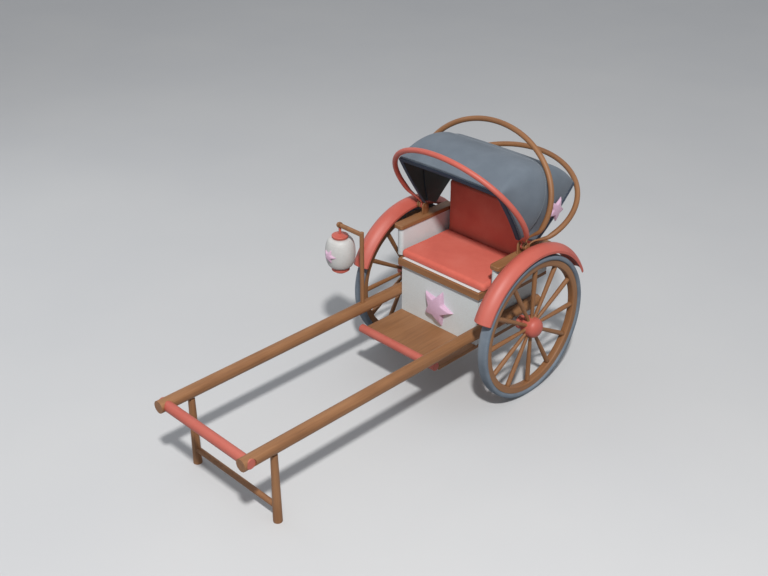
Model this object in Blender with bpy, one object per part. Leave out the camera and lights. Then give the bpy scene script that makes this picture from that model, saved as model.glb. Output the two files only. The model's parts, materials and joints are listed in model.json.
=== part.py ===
# Pulled rickshaw: two spoked wheels on a fixed axle, two long shafts with a
# cross bar and a front stand, a boxed seat with arm rests, a folding hood
# on three bows and a lantern that swings on its arm.
# Metres, +Z up, the shafts point to -Y, the passenger's left hand is +X.

import math

import bmesh
import bpy
from mathutils import Matrix, Vector
from mathutils.bvhtree import BVHTree

# Shared clearances
fit_gap = 0.0003
running_gap = 0.0008
cut_overrun = 0.02

# Wheels and axle
wheel_radius = 0.460
wheel_side_gap = 0.054
tyre_half_width = 0.034
tyre_depth = 0.0325
tyre_square_share = 0.62
rim_depth = 0.040
rim_half_width = 0.023
rim_chamfer = 0.009
spoke_count = 12
spoke_rim_radius = 0.0155
spoke_hub_radius = 0.0100
spoke_seat_depth = 0.013
spoke_rim_embed = 0.012
hub_radius = 0.062
hub_throat_radius = 0.046
hub_inboard = 0.088
hub_outboard = 0.069
hub_end_wall = 0.016
axle_radius = 0.020
axle_end_gap = 0.004
clip_length_share = 4.8
clip_width_share = 1.2
clip_thickness_share = 0.4

# Shafts, cross bar and front stand
shaft_radius = 0.037
shaft_half_spacing = 0.348
shaft_above_axle = 0.0185
shaft_front = 2.078
shaft_rear = 0.262
bar_radius = 0.030
bar_setback = 0.043
bar_overhang = 0.030
leg_radius = 0.0200
leg_foot_radius = 0.0262
leg_from_front = 0.2095
leg_socket_depth = 0.022
leg_tenon_radius = 0.015
leg_neck_share = 0.4
rail_radius = 0.017
rail_height = 0.098

# Seat box
panel_thickness = 0.015
box_front = 0.267
box_rear = 0.262
deck_above_shaft = 0.241
foot_board_below_shaft = 0.1215
foot_board_thickness = 0.026
foot_board_front = 0.594
foot_bar_radius = 0.0265
foot_bar_rise = 0.007
box_groove_depth = 0.004
trim_height = 0.0435
trim_thickness = 0.0175

# Arm rests
arm_step = 0.0285
arm_thickness = 0.046
arm_front = 0.221
arm_above_deck = 0.1585
arm_nose_radius = 0.020
arm_cap_thickness = 0.028
arm_cap_inner_reach = 0.007
arm_cap_outer_reach = 0.020
arm_cap_front_reach = 0.011
arm_rail_thickness = 0.0235
arm_rail_setback = 0.016

# Cushions and back
cushion_side_gap = 0.017
cushion_setback = 0.016
cushion_thickness = 0.048
cushion_edge_radius = 0.022
back_cushion_edge_radius = 0.016
cushion_corner_radius = 0.040
back_cushion_side_gap = 0.012
back_cushion_thickness = 0.055
back_cushion_height = 0.3845
back_board_thickness = 0.022
back_board_height = 0.3725
back_board_inset = 0.008
back_board_corner = 0.050

# Mudguards
guard_inner_reach = 0.073
guard_outer_reach = 0.044
guard_wheel_gap = 0.032
guard_crown = 0.035
guard_thickness = 0.018
guard_front_angle = math.radians(23.7)
guard_rear_angle = math.radians(153.0)
guard_iron_thickness = 0.008
guard_iron_width = 0.030
guard_iron_reach = 0.052
guard_iron_drop = 0.075
guard_iron_spread = 0.145
guard_iron_margin = 0.006
iron_clearance = 0.002

# Hood
hood_pivot_y = 0.012
hood_pivot_rise = 0.0537
hood_pin_radius = 0.012
hood_plate_step = 0.019
hood_plate_thickness = 0.010
hood_plate_half_length = 0.026
bow_radius = 0.0165
bow_foot_radius = 0.0045
bow_eye_radius = 0.022
bow_eye_thickness = 0.010
bow_eye_embed = 0.016
bow_leg_start = 0.028
bow_leg_end = 0.120
bow_taper_end = 0.160
canopy_thickness = 0.011
canopy_lap_gap = 0.0006
canopy_hem = 0.036
canopy_least_round = 0.002

# Lantern
lantern_ahead = 0.048
lantern_post_radius = 0.0135
lantern_post_height = 0.5095
lantern_arm_below_top = 0.016
lantern_arm_radius = 0.0145
lantern_arm_length = 0.206
lantern_hook_inset = 0.016
lantern_ring_wall = 0.0035
lantern_ring_width = 0.013
lantern_rod_radius = 0.0085
lantern_rod_length = 0.057
lantern_cap_radius = 0.052
lantern_cap_height = 0.026
lantern_globe_radius = 0.0935
lantern_globe_neck = 0.054
lantern_globe_height = 0.192
lantern_swell_share = 0.85
lantern_foot_radius = 0.056
lantern_foot_height = 0.040

# Stars sewn or nailed on
star_box_share = 0.389
star_box_drop = 0.0185
star_box_thickness = 0.034
star_hood_radius = 0.080
star_hood_back = 0.236
star_hood_rise = 0.168
star_hood_turn = math.radians(-15)
star_hood_thickness = 0.020
star_lantern_radius = 0.050
star_lantern_thickness = 0.018
star_cloth_gap = 0.0006
star_inner_share = 0.47
star_rim_share = 0.30
star_shoulder_share = 0.55
star_shoulder_height_share = 0.86

# Bows: name, angle back from upright, how far outside the hood plate the foot
# is, how much wider the arch is than the foot, reach from the pivot to the top
bow_table = [
    ("bow_front", math.radians(-31.5), 0.0140, 0.0880, 0.638),
    ("bow_mid", math.radians(18.8), 0.0295, 0.0955, 0.638),
    ("bow_rear", math.radians(62.9), 0.0450, 0.0990, 0.693),
]

# Canopy stations: angle, half width at the hem and at the roof corner (both
# against the hood plate), reach of the corner, how far the side bulges, how
# far the roof is crowned, and how far the corner is rounded down the side
canopy_table = [
    (math.radians(-31.5), -0.001, 0.0062, 0.4562, 0.010, 0.010, 0.020),
    (math.radians(-6.0), -0.001, 0.0180, 0.474, 0.048, 0.010, 0.090),
    (math.radians(17.0), -0.001, 0.0222, 0.488, 0.070, 0.004, 0.140),
    (math.radians(18.8), -0.001, 0.0222, 0.488, 0.070, 0.004, 0.140),
    (math.radians(38.0), 0.018, 0.0270, 0.512, 0.050, 0.006, 0.080),
    (math.radians(61.5), 0.042, 0.0298, 0.5418, 0.010, 0.006, 0.030),
]
canopy_roof_round_share = 0.72
canopy_slope_share = 0.01
canopy_front_stations = (0, 3)
canopy_rear_stations = (2, 5)
canopy_steps = 3

# Lantern cap and foot ring: drop and radius along the turned outline
lantern_cap_shares = [(0, 0.35), (0.3, 0.85), (0.6, 1.0), (1.0, 0.93)]
lantern_foot_shares = [(0, 0.92), (0.3, 1.0), (0.6, 1.0), (1.0, 0.6)]

# Facets
wheel_facets = 48
hub_facets = 24
spoke_facets = 8
rod_facets = 16
bow_facets = 10
bow_leg_steps = 9
bow_steps = 34
arc_facets = 26
side_steps = 6
corner_steps = 4
roof_steps = 6

# Places worked out from the sizes above
shaft_height = wheel_radius + shaft_above_axle
foot_board_top = shaft_height - foot_board_below_shaft
deck_height = shaft_height + deck_above_shaft
arm_top = deck_height + arm_above_deck
back_cushion_top = deck_height + back_cushion_height
back_board_top = deck_height + back_board_height
guard_edge_radius = wheel_radius + guard_wheel_gap
guard_crown_radius = guard_edge_radius + guard_crown
shaft_inner = shaft_half_spacing - shaft_radius
box_half_width = shaft_inner - fit_gap
tip_y = -shaft_front
bar_y = tip_y + bar_setback
leg_y = tip_y + leg_from_front
deck_bottom = deck_height - panel_thickness
box_floor = foot_board_top + fit_gap
trim_outer = box_half_width + fit_gap + trim_thickness
arm_inner = trim_outer + arm_step
trim_bottom = deck_height - trim_height
arm_outer = arm_inner + arm_thickness
half_track = arm_outer + arm_cap_outer_reach + wheel_side_gap + tyre_half_width
guard_inner = half_track - guard_inner_reach
guard_outer = half_track + guard_outer_reach
cushion_half_width = arm_inner - cushion_side_gap
cushion_front = box_front - cushion_setback
back_cushion_half_width = arm_inner - back_cushion_side_gap
hood_plate_inner = arm_inner + hood_plate_step
hood_plate_outer = hood_plate_inner + hood_plate_thickness
arm_rail_top = trim_bottom + arm_rail_thickness
arm_bottom = arm_rail_top + fit_gap
arm_cap_bottom = arm_top + fit_gap
arm_cap_top = arm_cap_bottom + arm_cap_thickness
back_board_front = box_rear - back_board_thickness
back_cushion_rear = back_board_front - fit_gap
back_cushion_front = back_cushion_rear - back_cushion_thickness
hub_outer = half_track + hub_outboard
hood_pivot_z = arm_cap_top + hood_pivot_rise
star_box_height = (foot_board_top + trim_bottom) / 2 - star_box_drop
star_box_radius = star_box_share * (trim_bottom - foot_board_top)
lantern_y = -(guard_crown_radius + lantern_ahead)
lantern_post_top = shaft_height + lantern_post_height
lantern_arm_height = lantern_post_top - lantern_arm_below_top
lantern_cap_top = lantern_arm_height - lantern_rod_length
lantern_globe_top = lantern_cap_top - lantern_cap_height - fit_gap
lantern_globe_bottom = lantern_globe_top - lantern_globe_height
lantern_x = -(shaft_half_spacing + lantern_arm_length - lantern_hook_inset)
hood_pivot = Vector((0, hood_pivot_y, hood_pivot_z))

# The frame's origin is under the middle of everything, on the ground
rear_bow_angle, rear_bow_reach = bow_table[-1][1], bow_table[-1][4]
rear_most = hood_pivot_y + rear_bow_reach * math.sin(rear_bow_angle) + bow_radius
origin_x = (hub_outer - (lantern_globe_radius - lantern_x)) / 2
origin_y = (rear_most + tip_y) / 2


def new_material(name, color, roughness, metallic=0.0):
    material = bpy.data.materials.new(name)
    material.use_nodes = True
    shader = material.node_tree.nodes["Principled BSDF"]
    shader.inputs["Base Color"].default_value = (*color, 1.0)
    shader.inputs["Roughness"].default_value = roughness
    shader.inputs["Metallic"].default_value = metallic
    material.diffuse_color = (*color, 1.0)
    return material


def place(bm, name, material, origin=(0, 0, 0), crease_angle=math.radians(35)):
    """Turn a bmesh in vehicle coordinates into an object whose origin is at origin."""
    origin = Vector(origin)
    bmesh.ops.translate(bm, verts=bm.verts, vec=-origin)
    mesh = bpy.data.meshes.new(name)
    bm.to_mesh(mesh)
    bm.free()
    mesh.shade_smooth()
    mesh.set_sharp_from_angle(angle=crease_angle)
    mesh.materials.append(material)
    item = bpy.data.objects.new(name, mesh)
    bpy.context.scene.collection.objects.link(item)
    item.location = origin
    item.parent = frame_empty
    return item


def cutter(bm, name):
    mesh = bpy.data.meshes.new(name)
    bm.to_mesh(mesh)
    bm.free()
    item = bpy.data.objects.new(name, mesh)
    bpy.context.scene.collection.objects.link(item)
    item.parent = frame_empty
    item.hide_render = True
    item.display_type = "WIRE"
    return item


def boolean(item, other, operation):
    modifier = item.modifiers.new(other.name, "BOOLEAN")
    modifier.operation = operation
    modifier.object = other
    modifier.solver = "EXACT"


def box(low, high, bm=None):
    bm = bm or bmesh.new()
    low, high = Vector(low), Vector(high)
    size = high - low
    matrix = Matrix.Translation((low + high) / 2) @ Matrix.Diagonal((*size, 1.0))
    bmesh.ops.create_cube(bm, size=1.0, matrix=matrix)
    return bm


def round_edges(bm, width, segments, wanted):
    edges = [edge for edge in bm.edges if wanted(edge)]
    bmesh.ops.bevel(bm, geom=edges, offset=width, segments=segments, affect="EDGES", profile=0.5)
    return bm


def rod(start, end, radius, end_radius=None, facets=rod_facets, bm=None):
    """A round bar between two points; a corner of its outline lies on the side axes."""
    bm = bm or bmesh.new()
    start, end = Vector(start), Vector(end)
    axis = end - start
    turn = Vector((0, 0, 1)).rotation_difference(axis).to_matrix().to_4x4()
    matrix = Matrix.Translation((start + end) / 2) @ turn
    bmesh.ops.create_cone(
        bm, cap_ends=True, segments=facets, radius1=radius,
        radius2=radius if end_radius is None else end_radius, depth=axis.length, matrix=matrix,
    )
    return bm


def turned(profile, center, axis, facets):
    """Turn (along, radius) points about an axis through center; zero radius closes to a pole."""
    bm = bmesh.new()
    side = Vector((0, 0, 1)) if axis == "X" else Vector((1, 0, 0))
    along_axis = Vector((1, 0, 0)) if axis == "X" else Vector((0, 0, 1))
    other = along_axis.cross(side)
    rings = []
    for along, radius in profile:
        middle = Vector(center) + along_axis * along
        if radius == 0:
            rings.append([bm.verts.new(middle)])
            continue
        ring = []
        for step in range(facets):
            angle = 2 * math.pi * step / facets
            ring.append(bm.verts.new(middle + radius * (math.cos(angle) * side + math.sin(angle) * other)))
        rings.append(ring)
    for first, second in zip(rings, rings[1:]):
        for step in range(facets):
            after = (step + 1) % facets
            corners = [first[step % len(first)], first[after % len(first)],
                       second[after % len(second)], second[step % len(second)]]
            unique = list(dict.fromkeys(corners))
            bm.faces.new(unique)
    for ring in (rings[0], rings[-1]):
        if len(ring) > 1:
            bm.faces.new(ring)
    bmesh.ops.recalc_face_normals(bm, faces=bm.faces)
    return bm


def loop_sweep(rings, closed):
    """Skin equal rings of points; closed joins the last ring to the first, else both are capped."""
    bm = bmesh.new()
    loops = [[bm.verts.new(point) for point in ring] for ring in rings]
    pairs = list(zip(loops, loops[1:])) + ([(loops[-1], loops[0])] if closed else [])
    for first, second in pairs:
        for step in range(len(first)):
            after = (step + 1) % len(first)
            bm.faces.new((first[step], first[after], second[after], second[step]))
    if not closed:
        bm.faces.new(loops[0])
        bm.faces.new(loops[-1])
    bmesh.ops.recalc_face_normals(bm, faces=bm.faces)
    return bm


def wheel_ring(profile, center, facets):
    """Turn a closed (x, radius) outline about the axle line, with a corner straight down."""
    rings = []
    for step in range(facets):
        angle = 2 * math.pi * step / facets
        rings.append([Vector(center) + Vector((x, radius * math.sin(angle), radius * math.cos(angle)))
                      for x, radius in profile])
    return loop_sweep(rings, closed=True)


def signed_power(value, power):
    return math.copysign(abs(value) ** power, value)


def make_wheel(side, sign):
    center = Vector((sign * half_track, 0, wheel_radius))
    tyre_inner = wheel_radius - tyre_depth
    tyre_middle = wheel_radius - tyre_depth / 2
    tyre_points = 12
    tyre = []
    for step in range(tyre_points):
        angle = 2 * math.pi * step / tyre_points
        tyre.append((tyre_half_width * signed_power(math.cos(angle), tyre_square_share),
                     tyre_middle + tyre_depth / 2 * signed_power(math.sin(angle), tyre_square_share)))
    place(wheel_ring(tyre, center, wheel_facets), "tyre_" + side, rubber, center)

    rim_outer = tyre_inner - fit_gap
    rim_inner = rim_outer - rim_depth
    half, cut = rim_half_width, rim_chamfer
    rim = [(-half, rim_outer), (-half, rim_inner + cut), (-half + cut, rim_inner),
           (half - cut, rim_inner), (half, rim_inner + cut), (half, rim_outer)]
    wheel = place(wheel_ring(rim, center, wheel_facets), "rim_" + side, wood, center)
    spokes, sockets = bmesh.new(), bmesh.new()
    for step in range(spoke_count):
        angle = 2 * math.pi * step / spoke_count
        outward = Vector((0, math.sin(angle), math.cos(angle)))
        inner = center + outward * (hub_radius - spoke_seat_depth)
        outer = center + outward * (rim_inner + spoke_rim_embed)
        rod(inner, outer, spoke_hub_radius, spoke_rim_radius, spoke_facets, spokes)
        rod(inner - outward * fit_gap, outer, spoke_hub_radius + fit_gap,
            spoke_rim_radius + fit_gap, spoke_facets, sockets)
    boolean(wheel, cutter(spokes, "spokes_" + side), "UNION")

    hub_shares = [(-1.0, 0.60), (-0.93, 0.70), (-0.80, 0.70), (-0.74, 0.62), (-0.50, 0.78),
                  (-0.34, 1.0), (0.34, 1.0)]
    profile = []
    for along_share, radius_share in hub_shares:
        reach = hub_inboard if along_share < 0 else hub_outboard
        profile.append((sign * along_share * reach, radius_share * hub_radius))
    dome_start = hub_shares[-1][0]
    dome_steps = 4
    for step in range(1, dome_steps + 1):
        angle = math.pi / 2 * step / dome_steps
        along = dome_start + (1 - dome_start) * math.sin(angle)
        radius = hub_radius * math.cos(angle) if step < dome_steps else 0
        profile.append((sign * along * hub_outboard, radius))
    hub = place(turned(profile, center, "X", hub_facets), "hub_" + side, red_paint, center)
    boolean(hub, cutter(sockets, "spoke_sockets_" + side), "DIFFERENCE")
    bore_start = center.x - sign * (hub_inboard + cut_overrun)
    bore_end = sign * (hub_outer - hub_end_wall)
    bore = rod((bore_start, 0, wheel_radius), (bore_end, 0, wheel_radius), axle_radius + running_gap)
    boolean(hub, cutter(bore, "hub_bore_" + side), "DIFFERENCE")


def make_axle():
    end = hub_outer - hub_end_wall - axle_end_gap
    place(rod((-end, 0, wheel_radius), (end, 0, wheel_radius), axle_radius), "axle", steel)
    clip_half_length = clip_length_share * axle_radius / 2
    clip_half_width = clip_width_share * shaft_radius / 2
    clip_top = wheel_radius - axle_radius - fit_gap
    clip_thickness = clip_thickness_share * axle_radius
    for side, sign in sides:
        middle = sign * shaft_half_spacing
        clip = box((middle - clip_half_width, -clip_half_length, clip_top - clip_thickness),
                   (middle + clip_half_width, clip_half_length, clip_top))
        place(clip, "axle_clip_" + side, iron)


def make_shafts():
    for side, sign in sides:
        x = sign * shaft_half_spacing
        shaft = place(rod((x, tip_y, shaft_height), (x, shaft_rear, shaft_height), shaft_radius),
                      "shaft_" + side, wood)
        notch_radius = axle_radius + fit_gap
        reach = shaft_radius + cut_overrun
        notch = rod((x - reach, 0, wheel_radius), (x + reach, 0, wheel_radius), notch_radius)
        boolean(shaft, cutter(notch, "axle_notch_" + side), "DIFFERENCE")
        slot = box((x - reach, -notch_radius, shaft_height - reach), (x + reach, notch_radius, wheel_radius))
        boolean(shaft, cutter(slot, "axle_slot_" + side), "DIFFERENCE")
        bore = rod((x - reach, bar_y, shaft_height), (x + reach, bar_y, shaft_height), bar_radius + fit_gap)
        boolean(shaft, cutter(bore, "bar_bore_" + side), "DIFFERENCE")
        socket_top = shaft_height - shaft_radius + leg_socket_depth + fit_gap
        socket = rod((x, leg_y, shaft_height - reach), (x, leg_y, socket_top), leg_tenon_radius + fit_gap)
        boolean(shaft, cutter(socket, "leg_socket_" + side), "DIFFERENCE")
        if sign < 0:
            seat_bottom = shaft_height - fit_gap
            seat = rod((x, lantern_y, seat_bottom), (x, lantern_y, shaft_height + reach),
                       lantern_post_radius + fit_gap)
            boolean(shaft, cutter(seat, "post_socket"), "DIFFERENCE")
    bar_half = shaft_half_spacing + bar_overhang
    place(rod((-bar_half, bar_y, shaft_height), (bar_half, bar_y, shaft_height), bar_radius),
          "cross_bar", red_paint)


def make_front_stand():
    """Two turned legs and the rail glued between them, one piece of joinery."""
    leg_top = shaft_height - math.sqrt(shaft_radius ** 2 - leg_radius ** 2) - leg_neck_share * shaft_radius
    tenon_top = shaft_height - shaft_radius + leg_socket_depth
    x = shaft_half_spacing
    stand = place(rod((-x, leg_y, rail_height), (x, leg_y, rail_height), rail_radius), "front_stand", wood)
    for side, sign in sides:
        profile = [(0, leg_foot_radius), (leg_top, leg_radius), (leg_top, leg_tenon_radius),
                   (tenon_top, leg_tenon_radius)]
        leg = turned(profile, (sign * x, leg_y, 0), "Z", rod_facets)
        boolean(stand, cutter(leg, "leg_" + side), "UNION")


def make_box():
    bottom = foot_board_top - foot_board_thickness
    board = box((-box_half_width, -foot_board_front, bottom), (box_half_width, box_rear, foot_board_top))
    item = place(board, "foot_board", wood)
    groove_bottom = foot_board_top - box_groove_depth
    groove_rear = -box_front + panel_thickness + fit_gap
    groove = box((-(box_half_width + cut_overrun), -(box_front + fit_gap), groove_bottom),
                 (box_half_width + cut_overrun, groove_rear, foot_board_top + cut_overrun))
    boolean(item, cutter(groove, "box_groove"), "DIFFERENCE")
    bar_reach = math.sqrt(foot_bar_radius ** 2 - foot_bar_rise ** 2)
    bar_y_place = -(foot_board_front + fit_gap + bar_reach)
    bar_z = foot_board_top + foot_bar_rise
    place(rod((-box_half_width, bar_y_place, bar_z), (box_half_width, bar_y_place, bar_z), foot_bar_radius),
          "foot_bar", red_paint)
    top = deck_bottom - fit_gap
    inner_front = -box_front + panel_thickness
    inner_rear = box_rear - panel_thickness
    place(box((-box_half_width, -box_front, groove_bottom + fit_gap), (box_half_width, inner_front, top)),
          "box_front", white_paint)
    place(box((-box_half_width, inner_rear, box_floor), (box_half_width, box_rear, top)),
          "box_rear", white_paint)
    for side, sign in sides:
        near, far = sign * (box_half_width - panel_thickness), sign * box_half_width
        panel = box((min(near, far), inner_front + fit_gap, box_floor),
                    (max(near, far), inner_rear - fit_gap, top))
        item = place(panel, "box_" + side, white_paint)
        hole = rod((sign * (box_half_width - panel_thickness - cut_overrun), 0, wheel_radius),
                   (sign * (box_half_width + cut_overrun), 0, wheel_radius), axle_radius + fit_gap)
        boolean(item, cutter(hole, "box_axle_hole_" + side), "DIFFERENCE")
    place(box((-box_half_width, -box_front, deck_bottom), (box_half_width, box_rear, deck_height)),
          "seat_deck", white_paint)


def make_trim():
    """A wooden band let round the front and both sides of the box under the seat."""
    inner = box_half_width + fit_gap
    front_inner = -(box_front + fit_gap)
    outline = [(-trim_outer, box_rear), (-trim_outer, front_inner - trim_thickness),
               (trim_outer, front_inner - trim_thickness), (trim_outer, box_rear),
               (inner, box_rear), (inner, front_inner), (-inner, front_inner), (-inner, box_rear)]
    place(extrude_outline(outline, trim_bottom, deck_height), "seat_trim", wood)


def extrude_outline(outline, low, high):
    bm = bmesh.new()
    face = bm.faces.new([bm.verts.new((x, y, low)) for x, y in outline])
    grown = bmesh.ops.extrude_face_region(bm, geom=[face])
    top = [item for item in grown["geom"] if isinstance(item, bmesh.types.BMVert)]
    bmesh.ops.translate(bm, verts=top, vec=(0, 0, high - low))
    bmesh.ops.recalc_face_normals(bm, faces=bm.faces)
    return bm


def upright(edge):
    first, second = edge.verts
    return abs(first.co.z - second.co.z) > (first.co.xy - second.co.xy).length


def make_arm_rests():
    for side, sign in sides:
        rail_inner = trim_outer + fit_gap
        rail = box((min(sign * rail_inner, sign * arm_outer), -(arm_front - arm_rail_setback), trim_bottom),
                   (max(sign * rail_inner, sign * arm_outer), box_rear, arm_rail_top))
        place(rail, "arm_rail_" + side, wood)
        panel = box((min(sign * arm_inner, sign * arm_outer), -arm_front, arm_bottom),
                    (max(sign * arm_inner, sign * arm_outer), box_rear, arm_top))
        round_edges(panel, arm_nose_radius, 4, lambda edge: upright(edge) and edge.verts[0].co.y < 0)
        place(panel, "arm_panel_" + side, white_paint)
        cap_inner = arm_inner - arm_cap_inner_reach
        cap_outer = arm_outer + arm_cap_outer_reach
        cap_front = -(arm_front + arm_cap_front_reach)
        cap = box((min(sign * cap_inner, sign * cap_outer), cap_front, arm_cap_bottom),
                  (max(sign * cap_inner, sign * cap_outer), box_rear, arm_cap_top))
        round_edges(cap, arm_nose_radius, 4, lambda edge: upright(edge) and edge.verts[0].co.y < 0)
        place(cap, "arm_cap_" + side, wood)


def make_seat():
    rear = back_cushion_front - fit_gap
    low = deck_height + fit_gap
    seat = box((-cushion_half_width, -cushion_front, low),
               (cushion_half_width, rear, low + cushion_thickness))
    round_edges(seat, cushion_corner_radius, 4, lambda edge: upright(edge) and edge.verts[0].co.y < 0)
    top = low + cushion_thickness
    round_edges(seat, cushion_edge_radius, 3, lambda edge: min(v.co.z for v in edge.verts) > top - fit_gap)
    place(seat, "seat_cushion", red_cloth)
    back = box((-back_cushion_half_width, back_cushion_front, low),
               (back_cushion_half_width, back_cushion_rear, back_cushion_top))
    round_edges(back, back_cushion_edge_radius, 3,
                lambda edge: max(v.co.y for v in edge.verts) < back_cushion_front + fit_gap
                and min(v.co.z for v in edge.verts) > low - fit_gap and not at_height(edge, low))
    place(back, "back_cushion", red_cloth)

    wide = arm_inner - fit_gap
    narrow = back_cushion_half_width - back_board_inset
    shoulder = arm_top
    corner_facets = 4
    outline = [(-wide, low), (wide, low), (wide, shoulder), (narrow, shoulder)]
    for step in range(corner_facets + 1):
        angle = math.pi / 2 * step / corner_facets
        outline.append((narrow - back_board_corner * (1 - math.cos(angle)),
                        back_board_top - back_board_corner * (1 - math.sin(angle))))
    for step in range(corner_facets + 1):
        angle = math.pi / 2 * (1 - step / corner_facets)
        outline.append((-narrow + back_board_corner * (1 - math.cos(angle)),
                        back_board_top - back_board_corner * (1 - math.sin(angle))))
    outline.append((-narrow, shoulder))
    outline.append((-wide, shoulder))
    rings = [[Vector((x, y, z)) for x, z in outline] for y in (back_board_front, box_rear)]
    place(loop_sweep(rings, closed=False), "back_board", white_paint)


def at_height(edge, height):
    return all(abs(vert.co.z - height) < fit_gap for vert in edge.verts)


def guard_radius(x):
    middle, half = (guard_inner + guard_outer) / 2, (guard_outer - guard_inner) / 2
    share = (abs(x) - middle) / half
    return guard_edge_radius + (guard_crown_radius - guard_edge_radius) * (1 - share ** 2)


def make_guards():
    across = 6
    for side, sign in sides:
        profile = []
        for step in range(across + 1):
            x = guard_inner + (guard_outer - guard_inner) * step / across
            profile.append((sign * x, guard_radius(x)))
        for step in range(across, -1, -1):
            x = guard_inner + (guard_outer - guard_inner) * step / across
            profile.append((sign * x, guard_radius(x) - guard_thickness))
        rings = []
        for step in range(arc_facets + 1):
            angle = guard_front_angle + (guard_rear_angle - guard_front_angle) * step / arc_facets
            rings.append([Vector((x, -radius * math.cos(angle), wheel_radius + radius * math.sin(angle)))
                          for x, radius in profile])
        place(loop_sweep(rings, closed=False), "mudguard_" + side, red_paint)
        make_guard_iron(side, sign)


def make_guard_iron(side, sign):
    """A flat strip on the arm panel with two cranked arms up under the mudguard."""
    inner = arm_outer + fit_gap
    face = inner + guard_iron_thickness
    reach = arm_outer + guard_iron_reach
    low = arm_top - guard_iron_drop
    spread = guard_iron_spread
    middle_y = (box_rear - arm_front) / 2
    strip = box((min(sign * inner, sign * face), middle_y - spread, low),
                (max(sign * inner, sign * face), middle_y + spread, low + guard_iron_width))
    iron_item = place(strip, "guard_iron_" + side, iron)
    lift_inner = reach - guard_iron_thickness
    root = (inner + face) / 2
    shelf_low = low + (guard_iron_width - guard_iron_thickness) / 2
    shelf_top = shelf_low + guard_iron_thickness
    under = min(guard_radius(lift_inner), guard_radius(reach)) - guard_thickness - iron_clearance
    for end_name, facing in (("front", -1), ("rear", 1)):
        outer_y = middle_y + facing * (spread - guard_iron_margin)
        inner_y = outer_y - facing * guard_iron_width
        lift_top = wheel_radius + math.sqrt(under ** 2 - max(abs(outer_y), abs(inner_y)) ** 2)
        outline = [(root, shelf_low), (reach, shelf_low), (reach, lift_top), (lift_inner, lift_top),
                   (lift_inner, shelf_top), (root, shelf_top)]
        rings = [[Vector((sign * x, y, z)) for x, z in outline] for y in (inner_y, outer_y)]
        arm = cutter(loop_sweep(rings, closed=False), "guard_arm_" + end_name + "_" + side)
        boolean(iron_item, arm, "UNION")


def smooth_step(value):
    value = min(max(value, 0), 1)
    return value * value * (3 - 2 * value)


def bow_line(foot, widest, reach):
    """Centre line of a bow as (x, height along the bow) from foot to foot."""
    waist = math.sqrt(1 - (foot / widest) ** 2)
    half_height = reach / (1 + waist)
    middle = half_height * waist
    leg = []
    for step in range(bow_leg_steps + 1):
        height = bow_eye_embed + (bow_leg_end - bow_eye_embed) * step / bow_leg_steps
        full = widest * math.sqrt(1 - ((height - middle) / half_height) ** 2)
        spread = smooth_step((height - bow_leg_start) / (bow_leg_end - bow_leg_start))
        leg.append((foot + (full - foot) * spread, height))
    start = math.asin((bow_leg_end - middle) / half_height)
    arch = []
    for step in range(1, bow_steps):
        angle = start + (math.pi - 2 * start) * step / bow_steps
        arch.append((widest * math.cos(angle), middle + half_height * math.sin(angle)))
    return leg + arch + [(-x, height) for x, height in reversed(leg)]


def make_bow(name, angle, foot, widest, reach):
    up = Vector((0, math.sin(angle), math.cos(angle)))
    across = Vector((0, math.cos(angle), -math.sin(angle)))
    line = bow_line(foot, widest, reach)
    spots = [hood_pivot + Vector((x, 0, 0)) + up * height for x, height in line]
    rings = []
    for index, spot in enumerate(spots):
        before, after = spots[max(index - 1, 0)], spots[min(index + 1, len(spots) - 1)]
        tangent = (after - before).normalized()
        inward = tangent.cross(across).normalized()
        taper = smooth_step((line[index][1] - bow_leg_start) / (bow_taper_end - bow_leg_start))
        radius = bow_foot_radius + (bow_radius - bow_foot_radius) * taper
        rings.append([spot + radius * (math.cos(turn) * inward + math.sin(turn) * across)
                      for turn in [2 * math.pi * step / bow_facets for step in range(bow_facets)]])
    material = red_paint if name == "bow_front" else wood
    bow = place(loop_sweep(rings, closed=False), name, material, hood_pivot)
    half_eye = bow_eye_thickness / 2
    for side, sign in sides:
        eye = rod(hood_pivot + Vector((sign * foot - half_eye, 0, 0)),
                  hood_pivot + Vector((sign * foot + half_eye, 0, 0)), bow_eye_radius)
        boolean(bow, cutter(eye, name + "_eye_" + side), "UNION")
    hole_half = widest
    hole = rod(hood_pivot - Vector((hole_half, 0, 0)), hood_pivot + Vector((hole_half, 0, 0)),
               hood_pin_radius + running_gap)
    boolean(bow, cutter(hole, name + "_hole"), "DIFFERENCE")


def make_hood_plates():
    for side, sign in sides:
        inner, outer = hood_plate_inner, hood_plate_outer
        top = hood_pivot_z + bow_eye_radius
        front, rear = hood_pivot_y - hood_plate_half_length, hood_pivot_y + hood_plate_half_length
        plate = box((min(sign * inner, sign * outer), front, arm_cap_top + fit_gap),
                    (max(sign * inner, sign * outer), rear, top))

        def top_corner(edge):
            first, second = edge.verts
            return at_height(edge, top) and abs(first.co.y - second.co.y) < fit_gap

        round_edges(plate, bow_eye_radius, 4, top_corner)
        item = place(plate, "hood_plate_" + side, wood)
        pin_end = guard_inner - running_gap
        pin = rod((sign * (inner - hood_plate_thickness / 2), hood_pivot_y, hood_pivot_z),
                  (sign * pin_end, hood_pivot_y, hood_pivot_z), hood_pin_radius)
        boolean(item, cutter(pin, "hood_pin_" + side), "UNION")


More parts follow.
